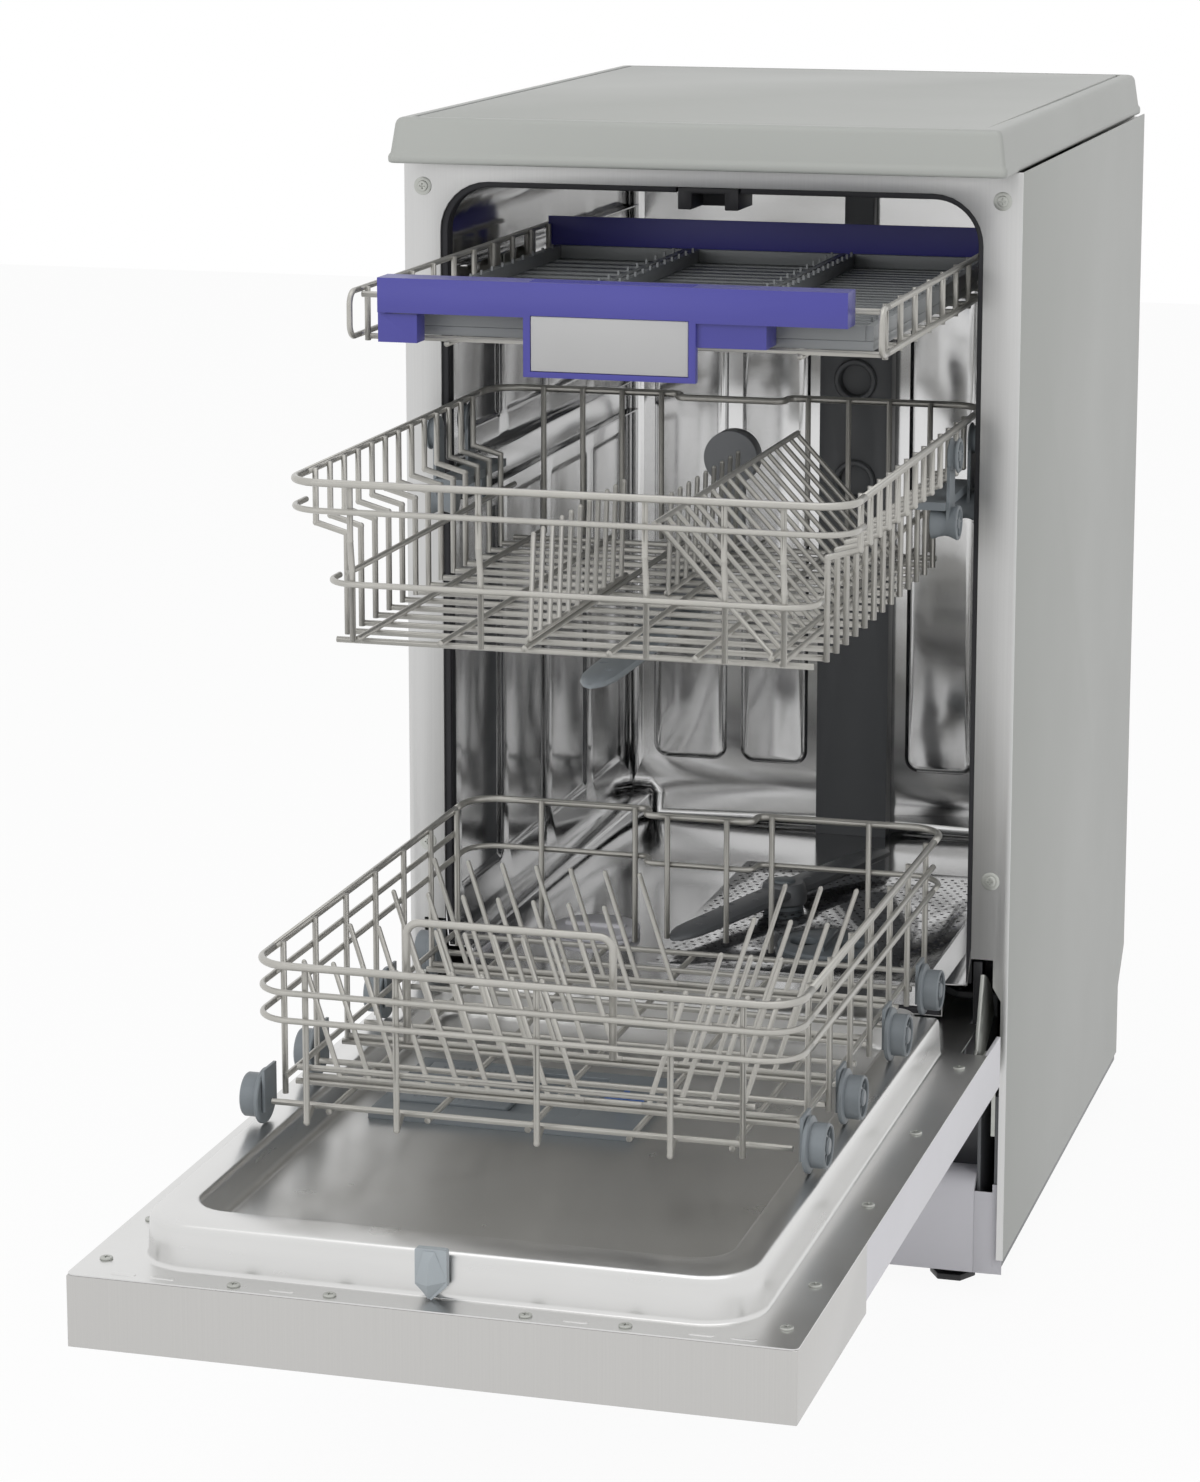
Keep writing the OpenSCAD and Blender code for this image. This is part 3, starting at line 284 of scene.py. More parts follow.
@dataclass(frozen=True)
class CoatedWire(Finish):
    """Nylon coating on basket wire: smooth, a little uneven, darker where it is thick."""

    colour: Colour

    def wire(self, s: Shader) -> None:
        """Wires the shader."""
        dips = s.noise(60.0, 3.0)
        s.set(Base_Color=s.tint(dips, self.colour, 0.9, 1.08),
              Roughness=dips * 0.14 + 0.24, Metallic=0.55, Coat_Weight=0.2, Coat_Roughness=0.2)
        s.bump(dips, 0.15, 0.0005)


@dataclass(frozen=True)
class Rubber(Finish):
    """Black moulded rubber with a dusting of bloom."""

    colour: Colour = (0.014, 0.014, 0.016)

    def wire(self, s: Shader) -> None:
        """Wires the shader."""
        bloom = s.noise(40.0, 4.0)
        s.set(Base_Color=s.mix(bloom, self.colour, shade(self.colour, 2.2)), Roughness=bloom * 0.2 + 0.5)
        s.bump(s.noise(900.0, 2.0), 0.15, 0.0003)


@dataclass(frozen=True)
class ZincPlate(Finish):
    """Zinc plating with a greenish passivated cast and soft spangles."""

    colour: Colour = (0.50, 0.51, 0.48)

    def wire(self, s: Shader) -> None:
        """Wires the shader."""
        spangle = s.cells(160.0)
        cloud = s.noise(30.0, 2.0)
        s.set(Base_Color=s.tint(cloud, self.colour, 0.85, 1.12),
              Roughness=spangle * 0.15 + cloud * 0.12 + 0.24, Metallic=0.85)
        s.bump(spangle, 0.1, 0.0003)


@dataclass(frozen=True)
class CastGrey(Finish):
    """Rough painted casting."""

    colour: Colour = (0.08, 0.08, 0.085)

    def wire(self, s: Shader) -> None:
        """Wires the shader."""
        pits = s.noise(260.0, 5.0)
        s.set(Base_Color=s.tint(pits, self.colour, 0.6, 1.4),
              Roughness=pits * 0.3 + 0.55)
        s.bump(pits, 0.6, 0.001)


@dataclass(frozen=True)
class CircuitBoard(Finish):
    """Lacquered board with copper-coloured pads."""

    colour: Colour = (0.015, 0.10, 0.045)

    def wire(self, s: Shader) -> None:
        """Wires the shader."""
        pads = 1.0 - s.cells(220.0).above(0.22)
        s.set(Base_Color=s.mix(pads, self.colour, (0.62, 0.45, 0.2)), Metallic=pads * 0.9, Roughness=0.3)


@dataclass(frozen=True)
class Felt(Finish):
    """Dark fibrous damping pad."""

    colour: Colour = (0.05, 0.05, 0.052)

    def wire(self, s: Shader) -> None:
        """Wires the shader."""
        fibres = s.noise(500.0, 6.0)
        s.set(Base_Color=s.tint(fibres, self.colour, 0.5, 1.9), Roughness=0.95,
              Sheen_Weight=0.3)
        s.bump(fibres, 0.7, 0.001)


@dataclass(frozen=True)
class DarkLens(Finish):
    """Gloss black window of a display."""

    def wire(self, s: Shader) -> None:
        """Wires the shader."""
        s.set(Base_Color=(0.006, 0.006, 0.008), Roughness=s.noise(40.0) * 0.04 + 0.04, Coat_Weight=0.6)


FINISHES = {
    "painted_grey": PaintedSheet((0.350, 0.360, 0.342)),
    "front_steel": BrushedSheet((0.575, 0.568, 0.555), 0.36),
    # A lighter copy of front_steel for the front frame: its extra lightness is painted light, so the frame
    # reads brighter than the door front.
    "frame_steel_painted_light": BrushedSheet((0.66, 0.66, 0.655), 0.44),
    "tub_steel": PolishedSheet((0.70, 0.70, 0.70), 0.10),
    "liner_steel": PolishedSheet((0.71, 0.708, 0.70), 0.27),
    "wire_coat": CoatedWire((0.43, 0.42, 0.39)),
    "dark_plastic": MouldedPlastic((0.150, 0.156, 0.164), 0.40),
    "grey_plastic": MouldedPlastic((0.17, 0.19, 0.205), 0.4),
    "black_plastic": MouldedPlastic((0.013, 0.013, 0.015), 0.45),
    "gasket_rubber": Rubber(),
    "violet_plastic": MouldedPlastic((0.054, 0.052, 0.262), 0.36),
    "pale_plastic": MouldedPlastic((0.66, 0.655, 0.69), 0.42),
    "insert_grey": MouldedPlastic((0.21, 0.22, 0.225), 0.38),
    "hook_grey": MouldedPlastic((0.30, 0.33, 0.35), 0.42),
    "plate_grey": MouldedPlastic((0.38, 0.38, 0.38), 0.30),
    "zinc_plate": ZincPlate(),
    "cast_grey": CastGrey(),
    "board_green": CircuitBoard(),
    "lens_black": DarkLens(),
    "blue_plastic": MouldedPlastic((0.03, 0.12, 0.42), 0.35),
    "felt": Felt(),
}
MATERIALS: dict[str, bpy.types.Material] = {}


def material(slot: str) -> bpy.types.Material:
    """The material of a slot, built on first use."""
    if slot not in MATERIALS:
        MATERIALS[slot] = FINISHES[slot].build(slot)
    return MATERIALS[slot]


# ---------------------------------------------------------------- meshes


def smooth_by_angle(mesh: bpy.types.Mesh, degrees: float = 35.0) -> None:
    """Smooth shading, with edges sharper than the angle kept sharp."""
    mesh.polygons.foreach_set("use_smooth", [True] * len(mesh.polygons))
    mesh.set_sharp_from_angle(angle=math.radians(degrees))
    mesh.update()


def settle(obj: bpy.types.Object, slot: str, body: str, replaces: Sequence[str] = (),
           look: Optional[str] = None) -> bpy.types.Object:
    """Gives a finished piece its material, its body and the nodes it stands for.

    Args:
        obj: The piece, at the origin, with its place in its mesh.
        slot: Material slot.
        body: Body that carries it.
        replaces: CAD nodes it stands for.
        look: Finish, if not the slot's own.

    Returns:
        The piece.
    """
    if not obj.data.materials:
        obj.data.materials.append(material(look or slot))
    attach(obj, body)
    if replaces:
        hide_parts(*replaces)
    LOG.info("%s: %d faces on %s", obj.name, len(obj.data.polygons), body)
    return obj


def link(name: str, mesh: bpy.types.Mesh) -> bpy.types.Object:
    """A new object in the scene that shows a mesh."""
    obj = bpy.data.objects.new(name, mesh)
    bpy.context.scene.collection.objects.link(obj)
    return obj


def baked(obj: bpy.types.Object) -> bpy.types.Object:
    """The object with its modifiers turned into a plain mesh."""
    bpy.context.view_layer.update()
    evaluated = obj.evaluated_get(bpy.context.evaluated_depsgraph_get())
    mesh = bpy.data.meshes.new_from_object(evaluated)
    old = obj.data
    obj.modifiers.clear()
    obj.data = mesh
    bpy.data.meshes.remove(old)
    return obj


class Shell:
    """Points and faces of one piece, gathered in millimetres."""

    def __init__(self) -> None:
        """Starts empty."""
        self.points: list[Point] = []
        self.faces: list[tuple[int, ...]] = []

    def ring(self, points: Iterable[Point]) -> range:
        """Adds points and returns their numbers."""
        first = len(self.points)
        self.points.extend(tuple(p) for p in points)
        return range(first, len(self.points))

    def bridge(self, a: Sequence[int], b: Sequence[int], closed: bool = True) -> None:
        """Joins two rings of equal length with quads."""
        count = len(a)
        for i in range(count if closed else count - 1):
            j = (i + 1) % count
            self.faces.append((a[i], a[j], b[j], b[i]))

    def loft(self, rings: Sequence[Iterable[Point]], closed: bool = True, start: bool = False,
             end: bool = False, loop: bool = False) -> None:
        """Skins a row of rings.

        Args:
            rings: Rings of equal length.
            closed: Whether each ring is closed.
            start: Whether the first ring is capped.
            end: Whether the last ring is capped.
            loop: Whether the last ring joins the first.
        """
        made = [self.ring(r) for r in rings]
        for a, b in zip(made, made[1:]):
            self.bridge(a, b, closed)
        if loop:
            self.bridge(made[-1], made[0], closed)
        if start:
            self.faces.append(tuple(reversed(made[0])))
        if end:
            self.faces.append(tuple(made[-1]))

    def box(self, lo: Point, hi: Point) -> None:
        """A box between two corners."""
        p = [(x, y, z) for x in (lo[0], hi[0]) for y in (lo[1], hi[1]) for z in (lo[2], hi[2])]
        n = self.ring(p)[0]
        for f in ((0, 1, 3, 2), (4, 6, 7, 5), (0, 4, 5, 1), (2, 3, 7, 6), (0, 2, 6, 4), (1, 5, 7, 3)):
            self.faces.append(tuple(n + i for i in f))

    def filled(self, outer: Sequence[int], inner: Sequence[int]) -> None:
        """Fills the flat band between two loops of different length."""
        bm = bmesh.new()
        verts = {i: bm.verts.new(self.points[i]) for i in (*outer, *inner)}
        edges = []
        for loop in (outer, inner):
            for i, n in enumerate(loop):
                edges.append(bm.edges.new((verts[n], verts[loop[(i + 1) % len(loop)]])))
        bmesh.ops.triangle_fill(bm, use_beauty=True, edges=edges)
        back = {v: n for n, v in verts.items()}
        self.faces.extend(tuple(back[v] for v in f.verts) for f in bm.faces)
        bm.free()

    def mesh(self, name: str, weld: float = 0.01, degrees: float = 35.0) -> bpy.types.Mesh:
        """The shell as a mesh in metres, welded and facing outwards."""
        mesh = bpy.data.meshes.new(name)
        mesh.from_pydata([(x * MM, y * MM, z * MM) for x, y, z in self.points], [], self.faces)
        bm = bmesh.new()
        bm.from_mesh(mesh)
        bmesh.ops.remove_doubles(bm, verts=bm.verts, dist=weld * MM)
        bmesh.ops.recalc_face_normals(bm, faces=bm.faces)
        bm.to_mesh(mesh)
        bm.free()
        smooth_by_angle(mesh, degrees)
        return mesh


def on_open_door(p: Point) -> Point:
    """Where a point of the closed door lies once the door is open."""
    hinge_y, hinge_z = Door.hinge_y, Door.hinge_z
    return (p[0], hinge_y - (p[2] - hinge_z), hinge_z + (p[1] - hinge_y))


def rounded_rectangle(width: float, height: float, radius: float,
                      steps: int = 8) -> list[tuple[float, float]]:
    """Points of a rounded rectangle round the origin, anticlockwise."""
    points = []
    for sx, sy, start in ((1, 1, 0), (-1, 1, 90), (-1, -1, 180), (1, -1, 270)):
        for i in range(steps + 1):
            a = math.radians(start + 90 * i / steps)
            points.append((sx * (width / 2 - radius) + radius * math.cos(a),
                           sy * (height / 2 - radius) + radius * math.sin(a)))
    return points


def upright(across: float, up: float, along: float) -> Point:
    """A place about an upright axis through the origin."""
    return (across, up, along)


def turned(profile: Sequence[tuple[float, float]], place: Callable[[float, float, float], Point],
           steps: int = 48) -> list[list[Point]]:
    """Rings of a profile turned about an axis.

    Args:
        profile: Radius and distance along the axis of each point.
        place: Turns (across, up, along) into a point.
        steps: Number of points round the axis.

    Returns:
        One ring for each point of the profile.
    """
    return [[place(r * math.cos(2 * math.pi * i / steps), r * math.sin(2 * math.pi * i / steps), a)
             for i in range(steps)] for r, a in profile]


def softened(node: str, edge: float = 0.0, segments: int = 2, look: Optional[str] = None) -> bpy.types.Object:
    """A copy of a CAD node with welded faces, smooth curves and rounded edges, in its place.

    Args:
        node: The CAD node.
        edge: Radius of its edges in millimetres, or 0 for none.
        segments: Steps round each edge.
        look: Finish, if not that of the node's slot.

    Returns:
        The piece that stands for the node.
    """
    mesh = frame["nodes"][node].data.copy()
    mesh.materials.clear()
    bm = bmesh.new()
    bm.from_mesh(mesh)
    bmesh.ops.remove_doubles(bm, verts=bm.verts, dist=2e-6)
    if edge:
        bmesh.ops.dissolve_limit(bm, angle_limit=math.radians(0.6), verts=bm.verts, edges=bm.edges)
    bm.to_mesh(mesh)
    bm.free()
    obj = link(node + "_piece", mesh)
    if edge:
        bevel = obj.modifiers.new("edges", "BEVEL")
        bevel.width = edge * MM
        bevel.segments = segments
        bevel.limit_method = "ANGLE"
        bevel.angle_limit = math.radians(40)
        bevel.use_clamp_overlap = True
        obj = baked(obj)
    smooth_by_angle(obj.data)
    return settle(obj, SLOT_OF[node], BODY_OF[node], [node], look)


# ---------------------------------------------------------------- geometry nodes


class GeometryTree:
    """A Geometry Nodes group built from Python, with named inputs for its sizes."""

    def __init__(self, name: str) -> None:
        """Makes a group that takes and gives geometry, with a finish."""
        self.group = bpy.data.node_groups.new(name, "GeometryNodeTree")
        face = self.group.interface
        face.new_socket("Geometry", in_out="INPUT", socket_type="NodeSocketGeometry")
        face.new_socket("Geometry", in_out="OUTPUT", socket_type="NodeSocketGeometry")
        self.start = self.group.nodes.new("NodeGroupInput")
        self.end = self.group.nodes.new("NodeGroupOutput")
        self.identifiers: dict[str, str] = {}
        self.add_input("Finish", "NodeSocketMaterial")

    def add_input(self, name: str, kind: str) -> None:
        """Adds a named input of a socket type."""
        socket = self.group.interface.new_socket(name, in_out="INPUT", socket_type=kind)
        self.identifiers[name] = socket.identifier

    def input(self, name: str) -> bpy.types.NodeSocket:
        """The socket that gives a named input."""
        return self.start.outputs[name]

    def node(self, kind: str, settings: dict, inputs: dict) -> bpy.types.Node:
        """Adds a node, with its settings first, then values or links by socket name."""
        made = self.group.nodes.new(kind)
        for key, value in settings.items():
            setattr(made, key, value)
        for key, value in inputs.items():
            if isinstance(value, bpy.types.NodeSocket):
                self.group.links.new(value, made.inputs[key])
            else:
                made.inputs[key].default_value = value
        return made

    def end_with(self, geometry: bpy.types.NodeSocket) -> None:
        """Realizes the instances, sets their finish and gives them out."""
        real = self.node("GeometryNodeRealizeInstances", {}, {"Geometry": geometry})
        dressed = self.node("GeometryNodeSetMaterial", {},
                            {"Geometry": real.outputs[0], "Material": self.input("Finish")})
        self.group.links.new(dressed.outputs[0], self.end.inputs[0])

    def run(self, name: str, slot: str, values: dict, points: Sequence[Point] = ()) -> bpy.types.Object:
        """Runs the tree on points and keeps its result as a plain mesh.

        Args:
            name: Name of the new piece.
            slot: Material slot of its finish.
            values: The tree's inputs by name.
            points: Points in millimetres that the tree starts from.

        Returns:
            The new object, not yet on a body.
        """
        mesh = bpy.data.meshes.new(name)
        mesh.from_pydata([(x * MM, y * MM, z * MM) for x, y, z in points or [(0, 0, 0)]], [], [])
        obj = link(name, mesh)
        modifier = obj.modifiers.new("nodes", "NODES")
        modifier.node_group = self.group
        for key, value in {**values, "Finish": material(slot)}.items():
            modifier[self.identifiers[key]] = value
        return baked(obj)


class Scatter(GeometryTree):
    """Puts a copy of a template on every point."""

    def __init__(self) -> None:
        """Builds the tree."""
        super().__init__("scatter")
        self.add_input("Template", "NodeSocketObject")
        shape = self.node("GeometryNodeObjectInfo", {}, {"Object": self.input("Template")})
        copies = self.node("GeometryNodeInstanceOnPoints", {},
                           {"Points": self.input("Geometry"), "Instance": shape.outputs["Geometry"]})
        self.end_with(copies.outputs[0])

    def place(self, name: str, template: bpy.types.Mesh, points: Sequence[Point], slot: str, body: str,
              replaces: Sequence[str] = ()) -> bpy.types.Object:
        """Copies a template mesh to points in millimetres, as one piece on a body."""
        holder = link(name + "_template", template)
        obj = self.run(name, slot, {"Template": holder}, points)
        bpy.data.objects.remove(holder)
        return settle(obj, slot, body, replaces)


class Coil(GeometryTree):
    """Winds a round wire into a coil about +Z, from the origin up."""

    def __init__(self) -> None:
        """Builds the tree."""
        super().__init__("coil")
        for name in ("Turns", "Radius", "Height", "Wire"):
            self.add_input(name, "NodeSocketFloat")
        self.add_input("Steps", "NodeSocketInt")
        path = self.node("GeometryNodeCurveSpiral", {}, {
            "Resolution": self.input("Steps"), "Rotations": self.input("Turns"),
            "Start Radius": self.input("Radius"), "End Radius": self.input("Radius"),
            "Height": self.input("Height")})
        round_wire = self.node("GeometryNodeCurvePrimitiveCircle", {"mode": "RADIUS"},
                               {"Resolution": 8, "Radius": self.input("Wire")})
        solid = self.node("GeometryNodeCurveToMesh", {}, {
            "Curve": path.outputs[0], "Profile Curve": round_wire.outputs[0], "Fill Caps": True})
        soft = self.node("GeometryNodeSetShadeSmooth", {}, {"Geometry": solid.outputs[0]})
        self.end_with(soft.outputs[0])

    def wind(self, name: str, turns: float, radius: float, height: float, wire: float, slot: str,
             place: Matrix) -> bpy.types.Object:
        """Winds one coil, in millimetres, and puts it in its place, not yet on a body."""
        obj = self.run(name, slot, {"Turns": float(turns), "Radius": radius * MM, "Height": height * MM,
                                    "Wire": wire * MM, "Steps": 16})
        obj.data.transform(place)
        return obj


class RibRow(GeometryTree):
    """A row of equal ribs at a pitch."""

    def __init__(self) -> None:
        """Builds the tree."""
        super().__init__("rib_row")
        self.add_input("Count", "NodeSocketInt")
        self.add_input("Start", "NodeSocketVector")
        self.add_input("Pitch", "NodeSocketVector")
        self.add_input("Rib", "NodeSocketVector")
        line = self.node("GeometryNodeMeshLine", {"mode": "OFFSET"}, {
            "Count": self.input("Count"), "Start Location": self.input("Start"),
            "Offset": self.input("Pitch")})
        rib = self.node("GeometryNodeMeshCube", {}, {"Size": self.input("Rib")})
        copies = self.node("GeometryNodeInstanceOnPoints", {},
                           {"Points": line.outputs[0], "Instance": rib.outputs[0]})
        self.end_with(copies.outputs[0])

    def place(self, name: str, count: int, start: Point, pitch: Point, rib: Point, slot: str,
              body: str, look: Optional[str] = None) -> bpy.types.Object:
        """One row of ribs on a body, in millimetres."""
        scaled = [tuple(v * MM for v in p) for p in (start, pitch, rib)]
        obj = self.run(name, look or slot,
                       {"Count": count, "Start": scaled[0], "Pitch": scaled[1], "Rib": scaled[2]})
        return settle(obj, slot, body, look=look)


# ---------------------------------------------------------------- sub-assemblies


def joined(name: str, parts: Sequence[bpy.types.Object]) -> bpy.types.Object:
    """Joins objects that are not yet on a body into one."""
    bm = bmesh.new()
    for part in parts:
        bm.from_mesh(part.data)
    mesh = bpy.data.meshes.new(name)
    for m in parts[0].data.materials:
        mesh.materials.append(m)
    bm.to_mesh(mesh)
    bm.free()
    for part in parts:
        bpy.data.objects.remove(part)
    return link(name, mesh)


def screw_head(washer: float, head: float, height: float,
               up: Callable[[float, float, float], Point]) -> bpy.types.Mesh:
    """A pan head with a cross recess on a washer.

    Args:
        washer: Radius of the washer, or 0 for none.
        head: Radius of the head.
        height: Height of the head above the sheet.
        up: Turns (across, up, out of the sheet) into a point.

    Returns:
        The template mesh.
    """
    s = Shell()
    if washer:
        s.loft(turned([(washer, 0), (washer, 0.45), (washer - 0.25, 0.6), (head, 0.6)], up, 32), start=True,
               end=True)
    rings = [s.ring(r) for r in turned([(head, 0.1), (head, height * 0.6), (head * 0.93, height * 0.85),
                                        (head * 0.75, height)], up, 32)]
    for a, b in zip(rings, rings[1:]):
        s.bridge(a, b)
    w, r = head * 0.12, head * 0.52
    cross = [(w, w), (w, r), (-w, r), (-w, w), (-r, w), (-r, -w), (-w, -w), (-w, -r), (w, -r), (w, -w),
             (r, -w), (r, w)]
    mouth = s.ring(up(a, b, height) for a, b in cross)
    deep = s.ring(up(a * 0.8, b * 0.8, height * 0.35) for a, b in cross)
    s.faces.append(tuple(reversed(rings[0])))
    s.filled(list(rings[-1]), list(mouth))
    s.bridge(mouth, deep)
    s.faces.append(tuple(deep))
    return s.mesh("screw_head")


@dataclass
class Kit:
    """The Geometry Nodes trees that the sub-assemblies share."""

    scatter: Scatter = field(default_factory=Scatter)
    coil: Coil = field(default_factory=Coil)
    ribs: RibRow = field(default_factory=RibRow)


@dataclass
class Worktop:
    """The lid: tapered sides over a rounded lip, and a groove inside its left and rear edges."""

    width: float = 442.0
    depth: float = 600.0
    bottom: float = 813.0
    top: float = 845.0
    corner: float = 5.0

    def outline(self, inset: float, z: float, drop: float = 0.0) -> list[Point]:
        """A rounded outline at an inset, sunk by drop along the left and rear edges."""
        ring = []
        w, d = self.width - 2 * inset, self.depth - 2 * inset
        for x, y in rounded_rectangle(w, d, max(1.0, self.corner - inset * 0.2)):
            left = x < -w / 2 + 1.5
            rear = y > d / 2 - 1.5
            ring.append((x, self.depth / 2 + y, z - (drop if left or rear else 0.0)))
        return ring

    def build(self) -> None:
        """Builds the lid."""
        b, t = self.bottom, self.top
        levels = [(6, b, 0), (1.6, b, 0), (0.4, b + 0.6, 0), (0, b + 2, 0), (0, b + 4.5, 0),
                  (0.5, b + 6, 0), (1.3, b + 6.9, 0), (1.7, b + 8.5, 0), (4.4, t - 4.5, 0),
                  (5.2, t - 2.4, 0), (6.6, t - 0.8, 0), (8.8, t - 0.1, 0), (11, t, 0), (14.4, t, 0),
                  (14.6, t, 0.3), (14.8, t, 2.2), (18.0, t, 2.2), (18.2, t, 0.3), (18.4, t, 0)]
        s = Shell()
        s.loft([self.outline(i, z, drop) for i, z, drop in levels], start=True, end=True)
        settle(link("worktop_piece", s.mesh("worktop", degrees=50)), "painted_grey", "cabinet", ["worktop"])
        # A black strip sunk in the groove along the left and rear edges: its black is painted shade, standing
        # for the shade inside the groove.
        groove_shade = Shell()
        x, y = self.width / 2, self.depth
        groove_shade.box((15.0 - x, 18.5, t - 2.3), (17.8 - x, y - 18.5, t - 0.5))
        groove_shade.box((18.5 - x, y - 17.8, t - 2.3), (x - 18.5, y - 15.0, t - 0.5))
        settle(link("worktop_seal", groove_shade.mesh("worktop_seal")), "black_plastic", "cabinet")


@dataclass
class Tub:
    """The polished tub: rounded shell with pressed panels, on its ledges and basin."""

    half: float = 197.0
    basin: float = 176.0
    floor: float = 208.0
    ledge: float = 232.0
    top: float = 797.0
    radius: float = 36.0
    front: float = 49.2
    back: float = 558.0
    sheet: float = 0.9
    press: float = 2.4
    soft: float = 7.0
    bend: float = 12.0
    columns: tuple = ((88, 190), (206, 308), (324, 426), (442, 530))
    rows: tuple = ((262, 546), (606, 700))

    def lines(self, lo: float, hi: float, spans: Sequence[tuple[float, float]]) -> list[float]:
        """Places of grid lines from lo to hi, close together at the pressed edges."""
        cuts = {lo, hi}
        for a, b in spans:
            for i in range(5):
                cuts.add(a + self.soft * i / 4)
                cuts.add(b - self.soft * i / 4)
        return sorted(c for c in cuts if lo <= c <= hi)

    def pressed(self, y: float, z: float) -> float:
        """Depth of the pressing at a place on a side wall."""
        def inside(v: float, a: float, b: float) -> float:
            """Smooth 0 to 1 within a span."""
            t = min(1.0, max(0.0, min(v - a, b - v) / self.soft))
            return t * t * (3 - 2 * t)
        along = max(inside(y, a, b) for a, b in self.columns)
        up = max(inside(z, a, b) for a, b in self.rows)
        return self.press * along * up

    def section(self) -> list[tuple[float, float, float, float, bool]]:
        """Points (x, z, outward x, outward z, on a side wall) round the tub, anticlockwise from the floor."""
        walls = self.lines(self.ledge, self.top - self.radius, self.rows)
        pts = [(-self.basin, self.floor, 0, -1, False), (0, self.floor, 0, -1, False),
               (self.basin, self.floor, 0.7, -0.7, False), (self.basin, self.ledge - 2, 1, 0, False),
               (self.basin + 2, self.ledge, 0, -1, False), (self.half - 3, self.ledge, 0, -1, False)]
        pts += [(self.half, z, 1, 0, True) for z in walls if z > self.ledge + 2]
        for i in range(1, 9):
            a = math.radians(90 * i / 8)
            pts.append((self.half - self.radius + self.radius * math.cos(a),
                        self.top - self.radius + self.radius * math.sin(a), math.cos(a), math.sin(a), False))
        mirrored = [(-x, z, -nx, nz, side) for x, z, nx, nz, side in reversed(pts[2:])]
        return pts[1:] + mirrored

    def build(self) -> None:
        """Builds the shell, its rear wall and its rear pressings."""
        section = self.section()
        rings = []
        for y in self.lines(self.front, self.back - self.bend, self.columns):
            ring = []
            for x, z, nx, nz, side in section:
                out = self.pressed(y, z) if side else 0.0
                ring.append((x + nx * out, y, z + nz * out))
            rings.append(ring)
        for i in range(1, 5):
            a = math.radians(90 * i / 4)
            inset = self.bend * (1 - math.cos(a))
            rings.append([(x - nx * inset, self.back - self.bend + self.bend * math.sin(a), z - nz * inset)
                          for x, z, nx, nz, _ in section])
        s = Shell()
        s.loft(rings)
        n = len(section)
        last = range(len(s.points) - n, len(s.points))
        for part in ((0, 1, 2, n - 2, n - 1), (2, 3, n - 3, n - 2), tuple(range(3, n - 2))):
            s.faces.append(tuple(last[i] for i in part))
        obj = link("tub_piece", s.mesh("tub"))
        wall = obj.modifiers.new("wall", "SOLIDIFY")
        wall.thickness = self.sheet * MM
        wall.offset = 1.0
        for name, shell in (("sump_cut", self.sump_cut()), ("salt_cut", self.salt_cut())):
            cut = link(name, shell.mesh(name))
            hole = obj.modifiers.new(name, "BOOLEAN")
            hole.operation = "DIFFERENCE"
            hole.object = cut
        obj = baked(obj)
        for name in ("sump_cut", "salt_cut"):
            bpy.data.objects.remove(bpy.data.objects[name])
        smooth_by_angle(obj.data, 50)
        settle(obj, "tub_steel", "cabinet", ["tub"])
        self.rear_pressings()

    def sump_cut(self) -> Shell:
        """The opening under the filter plate."""
        s = Shell()
        s.box((-54, 128, 200), (138, 422, 212))
        return s

    def salt_cut(self) -> Shell:
        """The opening round the salt container's neck."""
        s = Shell()
        s.loft(turned([(34.2, 200), (34.2, 212)], lambda a, b, c: (-122 + a, 190 + b, c)),
               start=True, end=True)
        return s

    def rear_pressings(self) -> None:
        """Raised upright panels on the rear wall, either side of the duct."""
        s = Shell()
        z0, z1 = 262, 700
        for x0, x1 in ((-176, -112), (-100, -42), (42, 100), (112, 176)):
            rings = []
            for inset, y in ((0, 558), (0.6, 557.2), (3, 555.8), (5, 555.4)):
                rings.append([((x0 + x1) / 2 + u, y, (z0 + z1) / 2 + v) for u, v in
                              rounded_rectangle(x1 - x0 - 2 * inset, z1 - z0 - 2 * inset, 12 - inset)])
            s.loft(rings, end=True)
        settle(link("tub_rear_pressings", s.mesh("tub_rear_pressings", degrees=50)), "tub_steel", "cabinet")


@dataclass
class DoorGasket:
    """Black rubber lip round the tub's mouth."""

    half: float = 197.0
    ledge: float = 233.0
    top: float = 797.0
    radius: float = 36.0
    front: float = 51.2
    gap: float = 23.5

    def build(self) -> None:
        """Sweeps the lip's section along the mouth, with a gap round the latch."""
        lip = [(0, 0), (2.6, 0.1), (3.9, 0.9), (4.4, 2.4), (4.1, 4.4), (2.8, 5.6), (2.4, 7.2), (3.4, 8.6),
               (4.3, 10.6), (4.1, 12.6), (2.6, 13.8), (0, 14)]
        flat, straight = self.half - self.radius, self.top - self.radius
        path = [(self.half, self.ledge, -1, 0), (self.half, straight, -1, 0)]
        for side in (1, -1):
            arc = []
            for i in range(1, 12):
                a = math.radians(90 * i / 12)
                arc.append((side * (flat + self.radius * math.cos(a)), straight + self.radius * math.sin(a),
                            -side * math.cos(a), -math.sin(a)))
            path += arc if side == 1 else arc[::-1]
            if side == 1:
                for x in (flat, 30, self.gap, -self.gap, -30, -flat):
                    path.append((x, self.top, 0, -1))
        path += [(-self.half, straight, 1, 0), (-self.half, self.ledge, 1, 0)]
        middle = next(i for i, p in enumerate(path) if p[0] == self.gap) + 1
        s = Shell()
        for part in (path[:middle], path[middle:]):
            rings = [[(x + nx * n, self.front + y, z + nz * n) for n, y in lip] for x, z, nx, nz in part]
            s.loft(rings, start=True, end=True)
        strip = [(self.front, 208), (self.front, 210.2), (52.2, 211), (58, 211), (59.2, 210), (59.2, 208)]
        s.loft([[(x, y, z) for y, z in strip] for x in (-174, 174)], start=True, end=True)
        settle(link("door_gasket_piece", s.mesh("door_gasket")), "gasket_rubber", "cabinet", ["door_gasket"])


